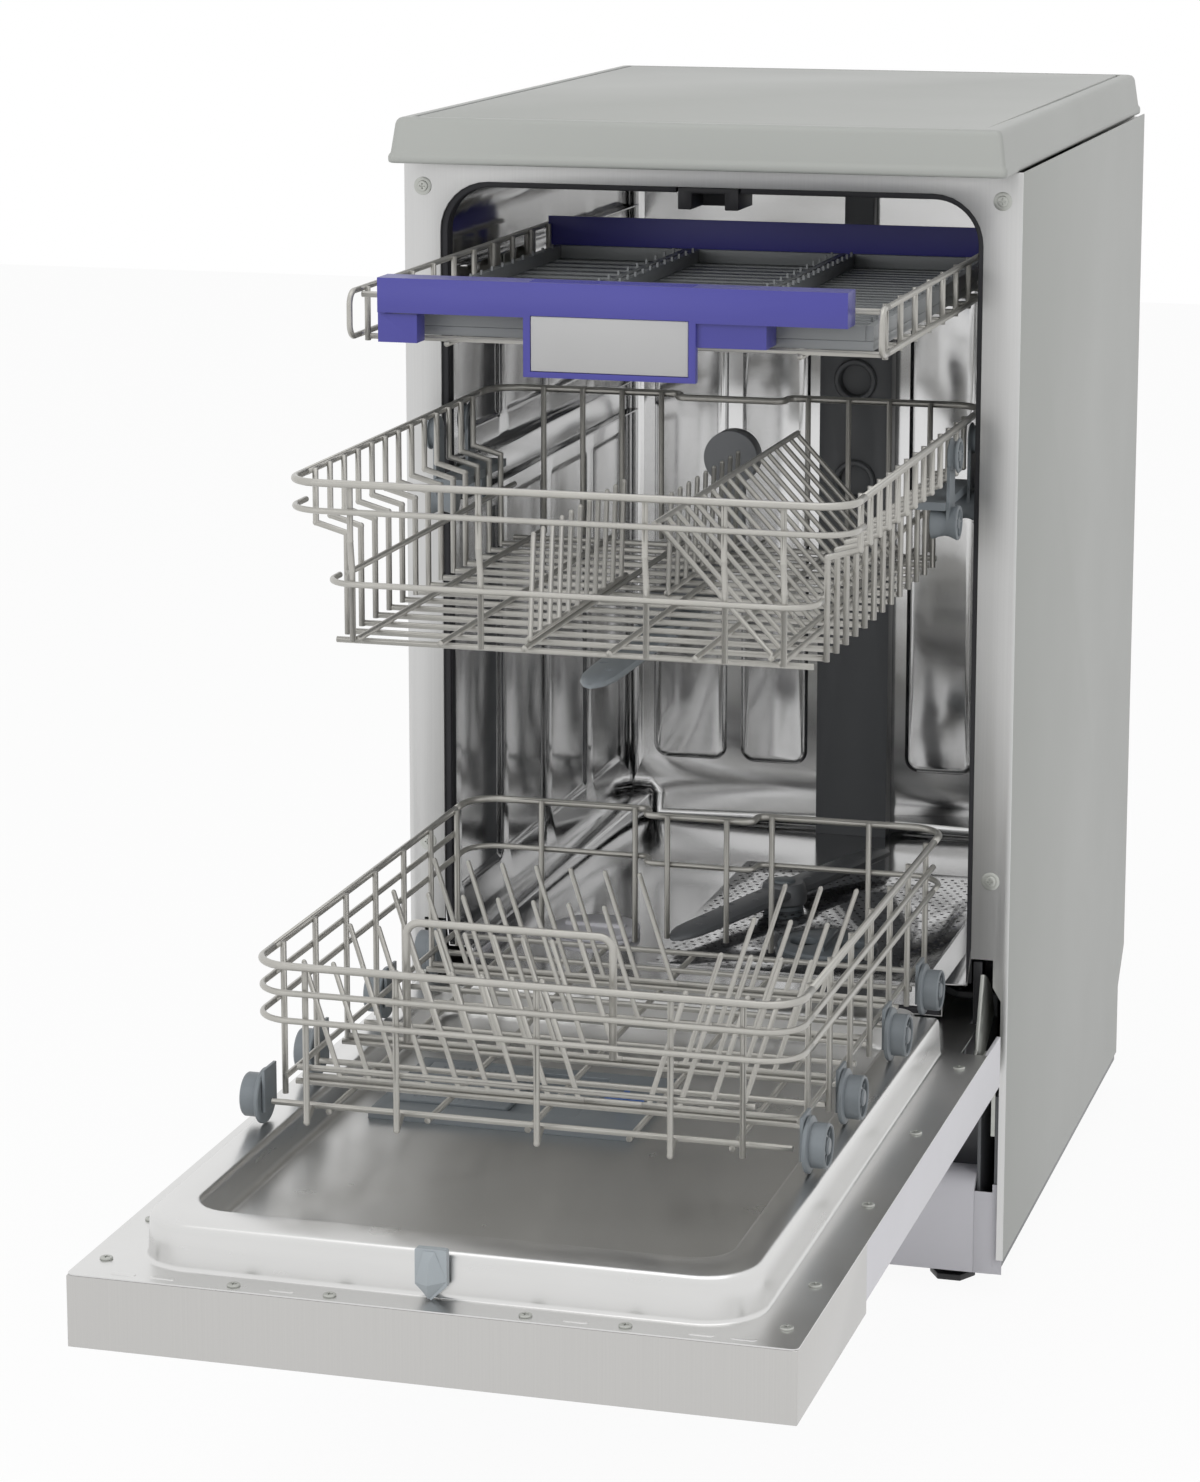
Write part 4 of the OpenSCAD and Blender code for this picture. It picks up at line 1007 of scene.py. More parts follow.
@dataclass
class Cabinet:
    """Outer sheets, plinth, feet, latch and hinge plates of the standing part."""

    screw_x: float = 210.0
    screw_rows: tuple = (310.0, 793.0)
    flange: float = 48.0
    foot_x: float = 180.0
    foot_rows: tuple = (88.0, 530.0)
    spring_x: float = 210.25
    spring_z: float = 56.0
    inlet: Point = (-160.0, 573.0, 55.0)
    kit: Kit = field(default_factory=Kit)

    def build(self) -> None:
        """Builds the sheets and what is fixed to them."""
        for node, edge in (("side_panel_left", 0.3), ("side_panel_right", 0.3), ("rear_panel", 0.3),
                           ("plinth", 0.8), ("base_tray", 0.8), ("latch_receiver", 0.8),
                           ("hinge_brackets", 0.5), ("hinge_covers", 1.2), ("inlet_valve", 0.8),
                           ("counterweight", 2.0)):
            softened(node, edge)
        # The front frame takes the lighter copy of the front steel; the extra lightness is painted light.
        softened("front_frame", 0.35, look="frame_steel_painted_light")
        softened("tub_rails", 0.4, look="tub_steel")
        cheeks = Shell()
        for s in (-1, 1):
            cheeks.box((s * 215.2, 51.0, 16.3), (s * 222.6, 51.9, 84.0))
        settle(link("plinth_cheeks", cheeks.mesh("plinth_cheeks")), "pale_plastic", "cabinet")
        self.screws()
        self.feet()
        self.springs()
        self.rear_details()

    def screws(self) -> None:
        """Cross-head screws with washers on the front flange."""
        head = screw_head(6.5, 4.0, 1.5, lambda a, b, c: (a, -c, b))
        places = [(s * self.screw_x, self.flange, z) for s in (-1, 1) for z in self.screw_rows]
        self.kit.scatter.place("frame_screws_piece", head, places, "zinc_plate", "cabinet", ["frame_screws"])

    def feet(self) -> None:
        """Adjustable feet with threaded necks."""
        softened("feet", 0.8)
        rings = []
        for s in (-1, 1):
            for y in self.foot_rows:
                at = Matrix.Translation((s * self.foot_x * MM, y * MM, 7 * MM))
                rings.append(self.kit.coil.wind("thread", 8, 10.1, 14, 0.5, "black_plastic", at))
        settle(joined("foot_threads", rings), "black_plastic", "cabinet")

    def springs(self) -> None:
        """Door springs: a wound coil on each side with its anchor plates."""
        coils = []
        for s in (-1, 1):
            at = Matrix.Translation((s * self.spring_x * MM, 211 * MM, self.spring_z * MM)) @ ALONG_Y
            coils.append(self.kit.coil.wind("coil", 44, 4.0, 130, 0.75, "zinc_plate", at))
        coils.append(self.spring_fittings())
        settle(joined("door_springs_piece", coils), "zinc_plate", "cabinet", ["door_springs"])

    def spring_fittings(self) -> bpy.types.Object:
        """The rods through the coils and the plates that hold them."""
        s = Shell()
        for side in (-1, 1):
            x = side * self.spring_x
            s.loft(turned([(1.6, 170), (1.6, 367)], lambda a, b, c: (x + a, c, self.spring_z + b), 16),
                   start=True, end=True)
            for y in (165, 367):
                s.box((x - 4.6, y, 25), (x + 4.6, y + 5, 61))
        obj = link("fittings", s.mesh("fittings"))
        obj.data.materials.append(material("zinc_plate"))
        return obj

    def rear_details(self) -> None:
        """Screws and pressed ribs on the rear sheet, and the thread of the water inlet."""
        head = screw_head(5.0, 3.4, 1.6, lambda a, b, c: (-a, c, b))
        places = [(x, 571.0, z) for x in (-212, 212) for z in (140, 360, 580, 795)]
        self.kit.scatter.place("rear_screws", head, places, "zinc_plate", "cabinet")
        for i, z in enumerate((230, 330, 430, 530, 630)):
            s = Shell()
            rings = []
            for inset, y in ((0, 570.9), (1.2, 572.0), (3.5, 572.8), (6, 573)):
                edge = rounded_rectangle(360 - 2 * inset, 26 - 2 * inset, 12.5 - inset)
                rings.append([(u, y, z + v) for u, v in edge])
            s.loft(rings, end=True)
            settle(link(f"rear_rib_{i}", s.mesh("rear_rib", degrees=50)), "front_steel", "cabinet")
        at = Matrix.Translation([v * MM for v in self.inlet]) @ ALONG_Y
        thread = self.kit.coil.wind("inlet_thread", 6, 12.9, 12, 0.55, "pale_plastic", at)
        settle(thread, "pale_plastic", "cabinet")


@dataclass
class SprayArm:
    """A moulded blade arm with nozzles, turning about an upright axis."""

    node: str
    slot: str
    centre: tuple[float, float]
    turn: float
    under: float
    hub: float
    hub_low: float
    hub_high: float
    bore: float
    kit: Kit = field(default_factory=Kit)
    reach: float = 160.0
    tip: float = 30.0
    thick: float = 9.0
    width: float = 14.0
    narrowing: float = 0.12
    thinning: float = 0.25

    def spot(self, along: float, across: float, z: float) -> Point:
        """A place on the arm, in the frame."""
        a = math.radians(self.turn)
        return (self.centre[0] + along * math.cos(a) - across * math.sin(a),
                self.centre[1] + along * math.sin(a) + across * math.cos(a), z)

    def height(self, along: float) -> float:
        """Height of the blade, which thins towards its ends."""
        return self.thick * (1 - self.thinning * along / self.reach)

    def build(self) -> None:
        """Builds the blade, the hub and the nozzles."""
        section = ((-1, 0.3), (-0.93, 0.68), (-0.62, 0.93), (0, 1), (0.62, 0.93), (0.93, 0.68), (1, 0.3),
                   (0.9, 0.05), (0.6, 0), (-0.6, 0), (-0.9, 0.05))
        s = Shell()
        for side in (-1, 1):
            rings = []
            for along in (12, 30, 60, 90, 120, 138, 148, 155, 159, self.reach):
                t = max(0.0, (along - self.reach + self.tip) / self.tip)
                w = self.width * math.sqrt(max(0.02, 1 - t * t)) * (1 - self.narrowing * along / self.reach)
                h = self.height(along) * (1 if t <= 0 else max(0.35, math.sqrt(1 - t * t * 0.9)))
                rings.append([self.spot(side * along, u * w, self.under + v * h) for u, v in section])
            s.loft(rings, start=True, end=True)
        lo, hi, r, b = self.hub_low, self.hub_high, self.hub, self.bore
        profile = [(b, lo), (r - 1, lo), (r, lo + 1), (r, self.under + 3), (r - 1.5, hi - 1.5), (r - 3, hi),
                   (b, hi)]
        s.loft(turned(profile, self.spot), loop=True)
        obj = link(self.node + "_piece", s.mesh(self.node, degrees=40))
        settle(obj, self.slot, BODY_OF[self.node], [self.node])
        self.nozzles()

    def nozzles(self) -> None:
        """Raised oval jets along the blade."""
        s = Shell()
        profile = [(3.6, -1.2), (3.3, 0.1), (2.6, 0.5), (1.5, 0.5), (1.2, -0.8)]
        s.loft(turned(profile, upright, 16), end=True)
        jet = s.mesh("jet")
        places = []
        for side in (-1, 1):
            for i in range(6):
                along = 30 + i * 20
                top = self.under + self.height(along)
                places.append(self.spot(side * along, side * (4.5 if i % 2 else -4.5), top - 0.5))
        self.kit.scatter.place(self.node + "_jets", jet, places, self.slot, BODY_OF[self.node])


@dataclass
class WaterWorks:
    """Everything that moves or softens the water."""

    kit: Kit = field(default_factory=Kit)

    def build(self) -> None:
        """Builds the duct, sump, filter, pumps, salt container and arms."""
        for node, edge in (("feed_duct", 3.0), ("sump", 1.5), ("filter_plate", 0.4), ("filter_cup", 1.0),
                           ("circulation_pump", 1.5), ("drain_pump", 1.5), ("salt_container", 2.0),
                           ("salt_cap", 1.0)):
            softened(node, edge)
        self.port_collars()
        self.perforations()
        SprayArm("lower_spray_arm", "dark_plastic", centre=(0, 300), turn=72, under=219, hub=18,
                 hub_low=213.3, hub_high=230, bore=9.05, kit=self.kit).build()
        SprayArm("upper_spray_arm", "grey_plastic", centre=(0, -90), turn=90, under=500, hub=15,
                 hub_low=500, hub_high=511.7, bore=5.05, kit=self.kit).build()

    def port_collars(self) -> None:
        """Raised collars round the duct's two ports."""
        s = Shell()
        for z in (510, 594):
            s.loft(turned([(13, 0), (13, -2.5), (14.2, -3.6), (16.6, -3.6), (17.8, -2.4), (18, 0.5)],
                          lambda a, b, c, z=z: (a, 540 + c, z + b)))
        settle(link("duct_collars", s.mesh("duct_collars")), "dark_plastic", "cabinet")

    def perforations(self) -> None:
        """Fine holes of the filter plate, drawn as thin black discs whose black is painted shade in the
        openings, clear of the arm's axle and the filter cup.
        """
        s = Shell()
        s.loft(turned([(1.5, -0.2), (1.5, 0.05), (1.2, 0.08)], upright, 8), end=True)
        spots = []
        pitch, left, front, right, rear, level = 8, -56, 127, 141, 425, 209.5
        for i in range(25):
            for j in range(37):
                x, y = left + i * pitch + (pitch // 2 if j % 2 else 0), front + j * pitch
                clear = math.hypot(x, y - 300) > 20 and math.hypot(x - 58, y - 200) > 43
                if clear and x < right and y < rear:
                    spots.append((x, y, level))
        self.kit.scatter.place("filter_holes", s.mesh("hole"), spots, "black_plastic", "cabinet")


@dataclass
class Door:
    """The drop-down door with its liner, controls and dispenser, built lying open."""

    hinge_y: float = 22.0
    hinge_z: float = 180.0
    sheet: float = 46.0
    ledge: float = 74.0
    recess: float = 53.0
    half: float = 223.5
    liner_half: float = 191.5
    liner_low: float = 216.0
    liner_high: float = 780.0
    foot_half: float = 173.8
    foot_top: float = 233.2
    foot_depth: float = 6.0
    top: float = 802.0
    dispenser_box: tuple = (-140.0, 375.0, 40.0, 495.0)
    kit: Kit = field(default_factory=Kit)

    def build(self) -> None:
        """Builds the door's pieces."""
        self.liner()
        for node, edge in (("door_panel", 0.6), ("control_panel", 1.2), ("control_board", 0.3),
                           ("display_window", 0.6), ("hinge_arms", 0.4),
                           ("door_insulation", 1.5), ("button_power", 0.7), ("button_program", 0.7),
                           ("button_start", 0.7)):
            softened(node, edge)
        self.hook()
        self.screws()
        self.dispenser()
        self.folds()

    def outline(self) -> list[tuple[float, float]]:
        """The liner's flat outline on the closed door, anticlockwise, as (x, z)."""
        w, n, r = self.half, 197.0, 4.0
        notch, low = self.hinge_z + 46, self.hinge_z - 88
        m, heel = n + 7.4, self.hinge_z - 26
        pts = [(-n, low), (n, low), (n, heel), (m, heel), (m, notch - 3), (m + 3, notch), (w, notch)]
        quarter = (0, 0.52, 1.05, 1.57)
        pts += [(w - r + r * math.cos(a), self.top - r + r * math.sin(a)) for a in quarter]
        pts += [(-w + r - r * math.sin(a), self.top - r + r * math.cos(a)) for a in quarter]
        return pts + [(-w, notch), (-m - 3, notch), (-m, notch - 3), (-m, heel), (-n, heel)]

    def ring(self, inset_x: float, inset_z: float, radius: float, y: float) -> list[Point]:
        """The raised rim's outline at an inset, at a level of the closed door.

        Its lower end is narrower on the outside, where it passes between the tub's ledges.
        """
        half = self.liner_half - inset_x
        low, high = self.liner_low + inset_z, self.liner_high - inset_z
        foot = self.foot_half - inset_x if inset_x < self.foot_depth else half
        step = self.foot_top + inset_x
        small = min(radius, 14.0) if inset_x < self.foot_depth else radius
        points = []
        for side, start in ((1, 0), (-1, 90)):
            for i in range(11):
                a = math.radians(start + 9 * i)
                points.append((side * (half - radius) + radius * math.cos(a),
                               high - radius + radius * math.sin(a)))
        points += [(-half, step), (-foot, step)]
        for side, start in ((-1, 180), (1, 270)):
            for i in range(11):
                a = math.radians(start + 9 * i)
                points.append((side * (foot - small) + small * math.cos(a),
                               low + small + small * math.sin(a)))
        points += [(foot, step), (half, step)]
        return [on_open_door((x, y, z)) for x, z in points]

    def liner(self) -> None:
        """The pressed liner: flange, raised rim with its ledge, and the deep recess."""
        s = Shell()
        outer = s.ring(on_open_door((x, self.sheet, z)) for x, z in self.outline())
        steps = [(-2.2, -2.2, self.sheet), (-1.0, -1.0, 46.3), (-0.2, -0.2, 47.2), (0.1, 0.1, 49.0),
                 (0.6, 0.6, 60.0), (1.0, 1.0, 69.5), (1.8, 1.8, 71.9), (3.2, 3.2, 73.4),
                 (5.2, 5.2, self.ledge), (22.0, 32.0, self.ledge), (23.8, 33.8, 73.5), (25.2, 35.2, 72.0),
                 (25.9, 35.9, 70.0), (27.6, 37.6, 57.6), (28.4, 38.4, 55.2), (30.2, 40.2, 53.6),
                 (33.0, 43.0, self.recess)]
        rings = [s.ring(self.ring(ix, iz, max(12.0, 36 - 0.45 * ix), y)) for ix, iz, y in steps]
        for a, b in zip(rings, rings[1:]):
            s.bridge(a, b)
        s.filled(list(outer), list(rings[0]))
        x0, z0, x1, z1 = self.dispenser_box
        cut = [(x0 - 0.3, z0 - 0.3), (x1 + 0.3, z0 - 0.3), (x1 + 0.3, z1 + 0.3), (x0 - 0.3, z1 + 0.3)]
        mouth = s.ring(on_open_door((x, self.recess, z)) for x, z in cut)
        s.filled(list(rings[-1]), list(mouth))
        obj = link("door_liner_piece", s.mesh("door_liner"))
        wall = obj.modifiers.new("wall", "SOLIDIFY")
        wall.thickness = 0.9 * MM
        wall.offset = -1.0
        obj = baked(obj)
        smooth_by_angle(obj.data, 40)
        settle(obj, "liner_steel", "door", ["door_liner"])

    def screws(self) -> None:
        """Cross-head screws along the liner's flange."""
        head = screw_head(0, 4.0, 1.5, upright)
        spots = [(s * 210.0, z) for s in (-1, 1) for z in (260, 406.67, 553.33, 700, self.top - 30)]
        spots += [(x, self.top - 8) for x in (-120, -60, 60, 120)]
        places = [on_open_door((x, self.sheet, z)) for x, z in spots]
        self.kit.scatter.place("door_screws_piece", head, places, "zinc_plate", "door", ["door_screws"])
        rivet = Shell()
        rivet.loft(turned([(2.6, -0.1), (2.6, 0.5), (2.1, 1.0), (1.1, 1.3)], lambda a, b, c: (c, a, b), 20),
                   start=True, end=True)
        rows = [(self.hinge_y + dy, z) for dy in (3.0, 17.0) for z in (250.0, 285.0, 318.0)]
        places = [on_open_door((208.5, y, z)) for y, z in rows]
        self.kit.scatter.place("hinge_rivets", rivet.mesh("rivet"), places, "zinc_plate", "door")

    def hook(self) -> None:
        """The latch hook: a block with a ridged, pointed face."""
        s = Shell()
        block = ((-9.8, 214), (0, 204.6), (9.8, 214), (9.8, 235), (8.8, 236), (-8.8, 236), (-9.8, 235))
        s.loft([[(x, y, z) for x, z in block] for y in (-584.6, -579.6)], start=True, end=True)
        face = s.ring([(-9.8, -584.6, 215), (-1.6, -584.9, 205.4), (9.8, -584.6, 217), (2.6, -584.9, 234.6),
                       (-4.6, -584.9, 234.6)])
        ridge = s.ring([(-1.4, -588.4, 214.5), (-0.8, -586.9, 228.0)])
        for tri in ((face[0], face[1], ridge[0]), (face[1], face[2], ridge[0]), (face[2], ridge[1], ridge[0]),
                    (face[2], face[3], ridge[1]), (face[3], face[4], ridge[1]), (face[4], ridge[0], ridge[1]),
                    (face[4], face[0], ridge[0]), tuple(reversed(face))):
            s.faces.append(tri)
        obj = link("latch_hook_piece", s.mesh("latch_hook", degrees=20))
        settle(obj, "grey_plastic", "door", ["latch_hook"], "hook_grey")

    def folds(self) -> None:
        """Small embossed pads of the liner's flange."""
        s = Shell()
        z = 794.0
        for x in (-190, -165, 165, 190, -90, 90):
            rings = []
            for inset, y in ((0, 45.9), (0.2, 46.25), (0.8, 46.45), (1.5, 46.5)):
                rings.append([on_open_door((x + u, y, z + v))
                              for u, v in rounded_rectangle(16 - 2 * inset, 5 - 2 * inset, 2.4 - inset, 4)])
            s.loft(rings, end=True)
        settle(link("liner_pads", s.mesh("liner_pads")), "liner_steel", "door")

    def dispenser(self) -> None:
        """The detergent dispenser: body, sliding lid and rinse aid cap."""
        softened("dispenser", 1.6)
        softened("dispenser_lid", 1.0)
        softened("rinse_cap", 0.8)
        face = self.recess + 6
        x0, z0 = self.dispenser_box[0], self.dispenser_box[1]
        for i, z in enumerate((z0 + 26, z0 + 84)):
            start = on_open_door((x0 + 22, face + 1.6, z))
            self.kit.ribs.place(f"lid_ribs_{i}", 12, start, (4.4, 0, 0), (1.6, 9.0, 0.5), "grey_plastic",
                                "dispenser_lid")
        s = Shell()
        cap_x, cap_z = x0 + 158, z0 + 60
        collar = [(20.0, -0.3), (20.0, 0.4), (18.5, 1.0), (17.0, 0.4), (17.0, -0.3)]
        s.loft(turned(collar, lambda a, b, c: on_open_door((cap_x + a, face + c, cap_z + b)), 40))
        settle(link("rinse_collar", s.mesh("rinse_collar")), "grey_plastic", "door")


def caps(kit: Kit, name: str, tips: Sequence[Point], radius: float, body: str, tilt: float = 0.0) -> None:
    """Rounded nylon tips on the ends of prongs.

    Args:
        kit: The shared trees.
        name: Name of the piece.
        tips: Ends of the prongs.
        radius: Radius of a tip.
        body: Body that carries the prongs.
        tilt: Angle of the prongs towards +X, in radians.
    """
    s = Shell()
    ca, sa = math.cos(tilt), math.sin(tilt)
    profile = [(radius * 0.98, -2.2), (radius, -0.6), (radius * 0.93, 0.5), (radius * 0.72, 1.2),
               (radius * 0.4, 1.65), (radius * 0.1, 1.8)]
    s.loft(turned(profile, lambda a, b, c: (a * ca + c * sa, b, c * ca - a * sa), 10), start=True, end=True)
    kit.scatter.place(name, s.mesh(name + "_cap"), tips, "wire_coat", body)


def prong_tips(x: float, y0: float, y1: float, z: float, count: int, rise: float, lean: float) -> list[Point]:
    """Tips of a row of leaning prongs."""
    step = (y1 - y0 - 8 - lean) / (count - 1)
    return [(x, y0 + 4 + i * step + lean, z + rise) for i in range(count)]


def spoke(s: Shell, place: Callable[[float, float, float], Point], angle: float,
          levels: Sequence[tuple[float, float, float, float]]) -> None:
    """Adds a spoke to a wheel.

    Args:
        s: The wheel's mesh.
        place: Turns (across, up, along the axle) into a point.
        angle: Direction of the spoke, in radians.
        levels: Distance from the axle, half width, inner face and outer face at places along it.
    """
    ca, sa = math.cos(angle), math.sin(angle)
    s.loft([[place(r * ca - u * sa, r * sa + u * ca, c)
             for u, c in ((-half, low), (half, low), (half, high), (-half, high))]
            for r, half, low, high in levels], start=True, end=True)


@dataclass
class Wheels:
    """A pair of basket wheels with a flange, a tread and spokes."""

    y: float
    node: str
    z: float = 250.3
    inner: float = 177.3
    width: float = 14.0
    flange: float = 18.0
    tread: float = 14.2
    rim: float = 12.2
    hub: float = 5.6
    bore: float = 4.1
    spokes: int = 6

    def build(self) -> None:
        """Builds both wheels."""
        s = Shell()
        for side in (-1, 1):
            self.wheel(s, side)
        settle(link(self.node + "_piece", s.mesh(self.node)), "grey_plastic", BODY_OF[self.node], [self.node])

    def wheel(self, s: Shell, side: int) -> None:
        """Adds one wheel."""
        x0, w = self.inner, self.width

        def place(a: float, b: float, c: float) -> Point:
            """A point at (across, up, along the axle)."""
            return (side * (x0 + c), self.y + a, self.z + b)

        f, t, r, h, b = self.flange, self.tread, self.rim, self.hub, self.bore
        tyre = [(r, 2.2), (r, w - 0.8), (r + 0.6, w), (t - 0.7, w), (t, w - 0.9), (t, 3.8), (f - 0.7, 3.2),
                (f, 2.6), (f, 0.7), (f - 0.6, 0), (b, 0), (b, 2.2)]
        s.loft(turned(tyre, place, 56), loop=True)
        hub = [(b, 2.0), (b, w), (h - 0.7, w), (h, w - 0.7), (h, 2.0)]
        s.loft(turned(hub, place, 40), loop=True)
        for i in range(self.spokes):
            spoke(s, place, 2 * math.pi * (i + 0.5) / self.spokes,
                  ((h - 0.5, 1.3, 2.0, w - 1.2), (h + 2, 0.9, 2.0, w - 2.0), (r + 0.4, 0.9, 2.0, w - 2.0)))
        pin = [(b + 0.6, w - 0.1), (b + 0.6, w + 0.15), (b + 0.2, w + 0.35), (0.8, w + 0.35)]
        s.loft(turned(pin, place, 28), end=True)


@dataclass
class LowerBasket:
    """Wire basket with leaning prongs, on eight wheels."""

    front: float = -410.0
    rim: float = 348.0
    floor: float = 252.0
    first_row: float = 65.278
    row_gap: float = 89.556
    lean: float = 24.0
    kit: Kit = field(default_factory=Kit)

    def build(self) -> None:
        """Builds the wires, the prong tips, the wheel brackets and the wheels."""
        softened("lower_basket")
        softened("lower_tines")
        self.tips()
        softened("basket_carrier", 0.8)
        softened("wheel_mounts", 0.8)
        for node, y in (("front_wheels", -380), ("second_wheels", -280), ("third_wheels", -140),
                        ("rear_wheels", -30)):
            Wheels(y, node).build()

    def tips(self) -> None:
        """Rounded ends of the prongs; the left ones lean left, the right ones right."""
        top = self.rim - 18
        tilt = math.atan2(self.lean, top - self.floor - 2.2)
        left, right = [], []
        for row in range(4):
            y = self.front + self.first_row + row * self.row_gap
            pitch, counts = (20, (9, 4)) if row < 2 else (25, (7, 3))
            left += [(-140 + i * pitch - self.lean, y, top) for i in range(counts[0])]
            right += [(66 + i * pitch + self.lean, y, top) for i in range(counts[1])]
        caps(self.kit, "left_prong_caps", left, 1.75, "lower_basket", -tilt)
        caps(self.kit, "right_prong_caps", right, 1.75, "lower_basket", tilt)


@dataclass
class UpperBasket:
    """Stepped wire basket with its height adjusters, water feed and slides."""

    low: float = 536.2
    kit: Kit = field(default_factory=Kit)

    def build(self) -> None:
        """Builds the wires, tips, adjusters, feed and slides."""
        softened("upper_basket")
        y0, y1 = -303.2, 108.5
        tips = prong_tips(-28, y0 + 10, y0 + 240, self.low + 3.3, 11, 66, 8)
        tips += prong_tips(12, y0 + 200, y1 - 10, self.low, 9, 66, 8)
        caps(self.kit, "upper_prong_caps", tips, 1.75, "upper_basket")
        self.adjusters()
        softened("upper_feed", 1.0)
        softened("upper_slides", 0.5)

    def adjusters(self) -> None:
        """Height adjusters: grooved rollers in pairs, each pair on a rounded link, on a bracket."""
        s = Shell()
        for side in (1, -1):
            s.box((side * 162.4, -9, 585.2), (side * 184.2, 93, 590.8))
            for y in (5.0, 79.0):
                for x0, x1, half, low, high in ((184.2, 186.4, 9.5, 566.0, 631.0),
                                                (183.6, 184.2, 6.5, 572.0, 625.0)):
                    edge = rounded_rectangle(2 * half, high - low, half - 0.5, 6)
                    rings = [[(side * x, y + u, (low + high) / 2 + v) for u, v in edge] for x in (x0, x1)]
                    s.loft(rings, start=True, end=True)
                for z, x0 in ((575.0, 172.5), (622.0, 184.3)):
                    self.roller(s, side, y, z, x0)
        settle(link("upper_adjusters_piece", s.mesh("adjusters", degrees=40)), "grey_plastic",
               BODY_OF["upper_adjusters"], ["upper_adjusters"])

    def roller(self, s: Shell, side: int, y: float, z: float, x0: float) -> None:
        """Adds one roller with two flanges, a groove and a spoked outer face."""
        x1 = 191.8
        w = x1 - x0

        def place(a: float, b: float, c: float) -> Point:
            """A point at (across, up, along the axle)."""
            return (side * (x0 + c), y + a, z + b)

        profile = [(1.0, 0.0), (10.8, 0.0), (12.0, 0.6), (12.0, 1.2), (10.2, w * 0.3), (9.4, w * 0.5),
                   (10.0, w * 0.68), (12.0, w - 1.6), (12.0, w - 0.5), (11.4, w), (9.6, w), (9.2, w - 1.2),
                   (4.2, w - 1.2), (3.8, w - 0.1), (1.0, w - 0.1)]
        s.loft(turned(profile, place, 40), start=True, end=True)
        for i in range(5):
            spoke(s, place, 2 * math.pi * i / 5, [(r, 0.6, w - 1.4, w - 0.3) for r in (3.6, 9.6)])


@dataclass
class CutleryTray:
    """Shallow top tray with comb inserts, a violet handle bar and its plate."""

    front: float = -205.0
    back: float = 261.0
    top: float = 748.0
    kit: Kit = field(default_factory=Kit)

    def build(self) -> None:
        """Builds the tray's pieces."""
        softened("tray_frame")
        softened("tray_inserts", 0.5, look="insert_grey")
        softened("tray_handle", 1.6, 3)
        softened("tray_plate", 0.5)
        softened("tray_slides", 0.4)
        self.combs()
        self.bar_ribs()

    def combs(self) -> None:
        """Upright comb teeth between the insert slots."""
        y0, y1 = self.front + 32, self.back - 20
        z = self.top - 36 + 4.2
        for name, x0, x1, count in (("left", -168, -62, 16), ("middle", -60, 58, 20), ("right", 60, 168, 26)):
            pitch = (y1 - y0 - 12) / count
            for row, x in enumerate((x0 + 5.9, x1 - 5.9)):
                self.kit.ribs.place(f"comb_{name}_{row}", count - 1, (x, y0 + 7 + pitch, z + 17.6),
                                    (0, pitch, 0), (1.6, 1.8, 3.4), "dark_plastic", BODY_OF["tray_inserts"],
                                    "insert_grey")

    def bar_ribs(self) -> None:
        """Fine grip ribs on top of the handle bar."""
        self.kit.ribs.place("handle_ribs", 5, (0, self.front + 5.0, self.top + 9.1), (0, 3.2, 0),
                            (110.0, 1.1, 0.5), "violet_plastic", BODY_OF["tray_handle"])


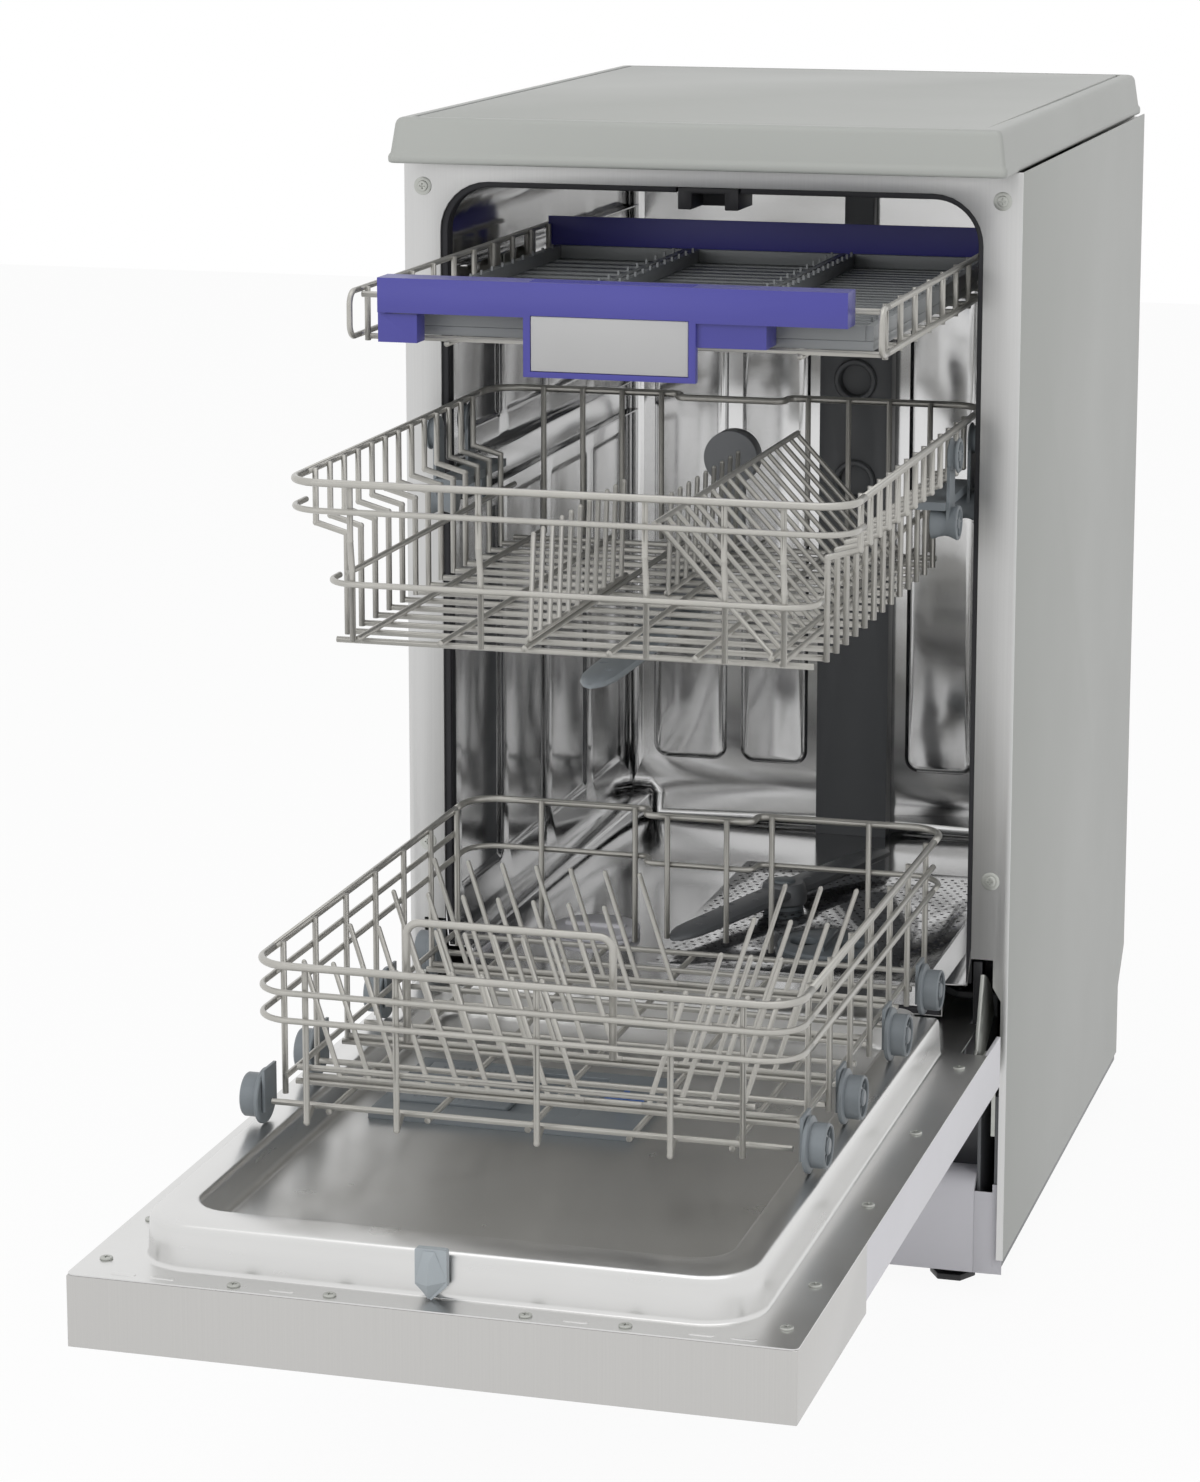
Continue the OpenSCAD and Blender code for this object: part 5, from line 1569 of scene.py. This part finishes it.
@dataclass
class Studio:
    """Floor, lights, world and camera."""

    camera_at: Point = (0.724, -2.757, 1.069)
    yaw: float = 15.96
    pitch: float = 10.97
    lens: float = 66.85
    shift_y: float = -0.1
    wash: float = 0.94
    ambient: float = 0.50

    def build(self) -> None:
        """Sets the scene."""
        self.floor()
        self.lights()
        self.world()
        self.camera()

    def floor(self) -> None:
        """A plain pale floor that keeps the object's shadow."""
        mesh = bpy.data.meshes.new("floor")
        bm = bmesh.new()
        bmesh.ops.create_grid(bm, x_segments=1, y_segments=1, size=6.0)
        bm.to_mesh(mesh)
        bm.free()
        obj = link("floor", mesh)
        s = Shader("floor")
        s.set(Base_Color=(0.86, 0.86, 0.86), Roughness=0.9, Specular_IOR_Level=0.1)
        white = s.nodes.new("ShaderNodeEmission")
        white.inputs["Color"].default_value = (1.0, 1.0, 1.0, 1.0)
        path = s.nodes.new("ShaderNodeLightPath")
        camera, glossy, through = (Value(s, path.outputs[f"Is {kind} Ray"])
                                   for kind in ("Camera", "Glossy", "Transmission"))
        shown = camera * self.wash + glossy * self.wash + through * self.wash
        blend = s.nodes.new("ShaderNodeMixShader")
        s.links.new(shown.socket, blend.inputs[0])
        s.links.new(s.bsdf.outputs[0], blend.inputs[1])
        s.links.new(white.outputs[0], blend.inputs[2])
        s.links.new(blend.outputs[0], s.output.inputs[0])
        obj.data.materials.append(s.material)

    def lights(self) -> None:
        """Large soft lamps from the front, the side and above; only the top one shows in gloss."""
        for name, at, aim, size, power in (("key", (-1.4, -3.1, 1.9), (0, -0.1, 0.45), 2.2, 66.0),
                                           ("fill", (2.6, -1.6, 1.6), (0, -0.1, 0.4), 2.4, 26.0),
                                           ("top", (0.1, -0.3, 3.2), (0, -0.1, 0.3), 2.2, 13.0)):
            lamp = bpy.data.lights.new(name, "AREA")
            lamp.energy = power
            lamp.size = size
            obj = bpy.data.objects.new(name, lamp)
            obj.location = at
            obj.rotation_euler = (Vector(aim) - Vector(at)).to_track_quat("-Z", "Y").to_euler()
            obj.visible_glossy = name == "top"
            bpy.context.scene.collection.objects.link(obj)

    def world(self) -> None:
        """White for the camera and for gloss, soft grey light for the rest."""
        world = bpy.data.worlds.new("studio")
        bpy.context.scene.world = world
        world.use_nodes = True
        nodes, links = world.node_tree.nodes, world.node_tree.links
        nodes.clear()
        path = nodes.new("ShaderNodeLightPath")
        shown = path.outputs["Is Camera Ray"]
        for name in ("Is Glossy Ray", "Is Transmission Ray"):
            most = nodes.new("ShaderNodeMath")
            most.operation = "MAXIMUM"
            links.new(shown, most.inputs[0])
            links.new(path.outputs[name], most.inputs[1])
            shown = most.outputs[0]
        level = nodes.new("ShaderNodeMath")
        level.operation = "MAXIMUM"
        level.inputs[1].default_value = self.ambient
        links.new(shown, level.inputs[0])
        back = nodes.new("ShaderNodeBackground")
        back.inputs["Color"].default_value = (1.0, 1.0, 1.0, 1.0)
        links.new(level.outputs[0], back.inputs["Strength"])
        out = nodes.new("ShaderNodeOutputWorld")
        links.new(back.outputs[0], out.inputs[0])

    def camera(self) -> None:
        """The camera at the viewing angle."""
        data = bpy.data.cameras.new("camera")
        data.sensor_fit = "VERTICAL"
        data.sensor_height = 24.0
        data.lens = self.lens
        data.shift_y = self.shift_y
        data.clip_end = 30.0
        obj = bpy.data.objects.new("camera", data)
        obj.location = self.camera_at
        obj.rotation_euler = (math.radians(90 - self.pitch), 0.0, math.radians(self.yaw))
        bpy.context.scene.collection.objects.link(obj)
        scene = bpy.context.scene
        scene.camera = obj
        scene.view_settings.view_transform = "Standard"


def main() -> None:
    """Builds every sub-assembly and the studio."""
    logging.basicConfig(level=logging.INFO, format="%(name)s %(message)s")
    kit = Kit()
    Studio().build()
    for part in (Worktop(), Tub(), DoorGasket(), Cabinet(kit=kit), WaterWorks(kit=kit), Door(kit=kit),
                 LowerBasket(kit=kit), UpperBasket(kit=kit), CutleryTray(kit=kit)):
        part.build()


if __name__ == "__main__":
    main()
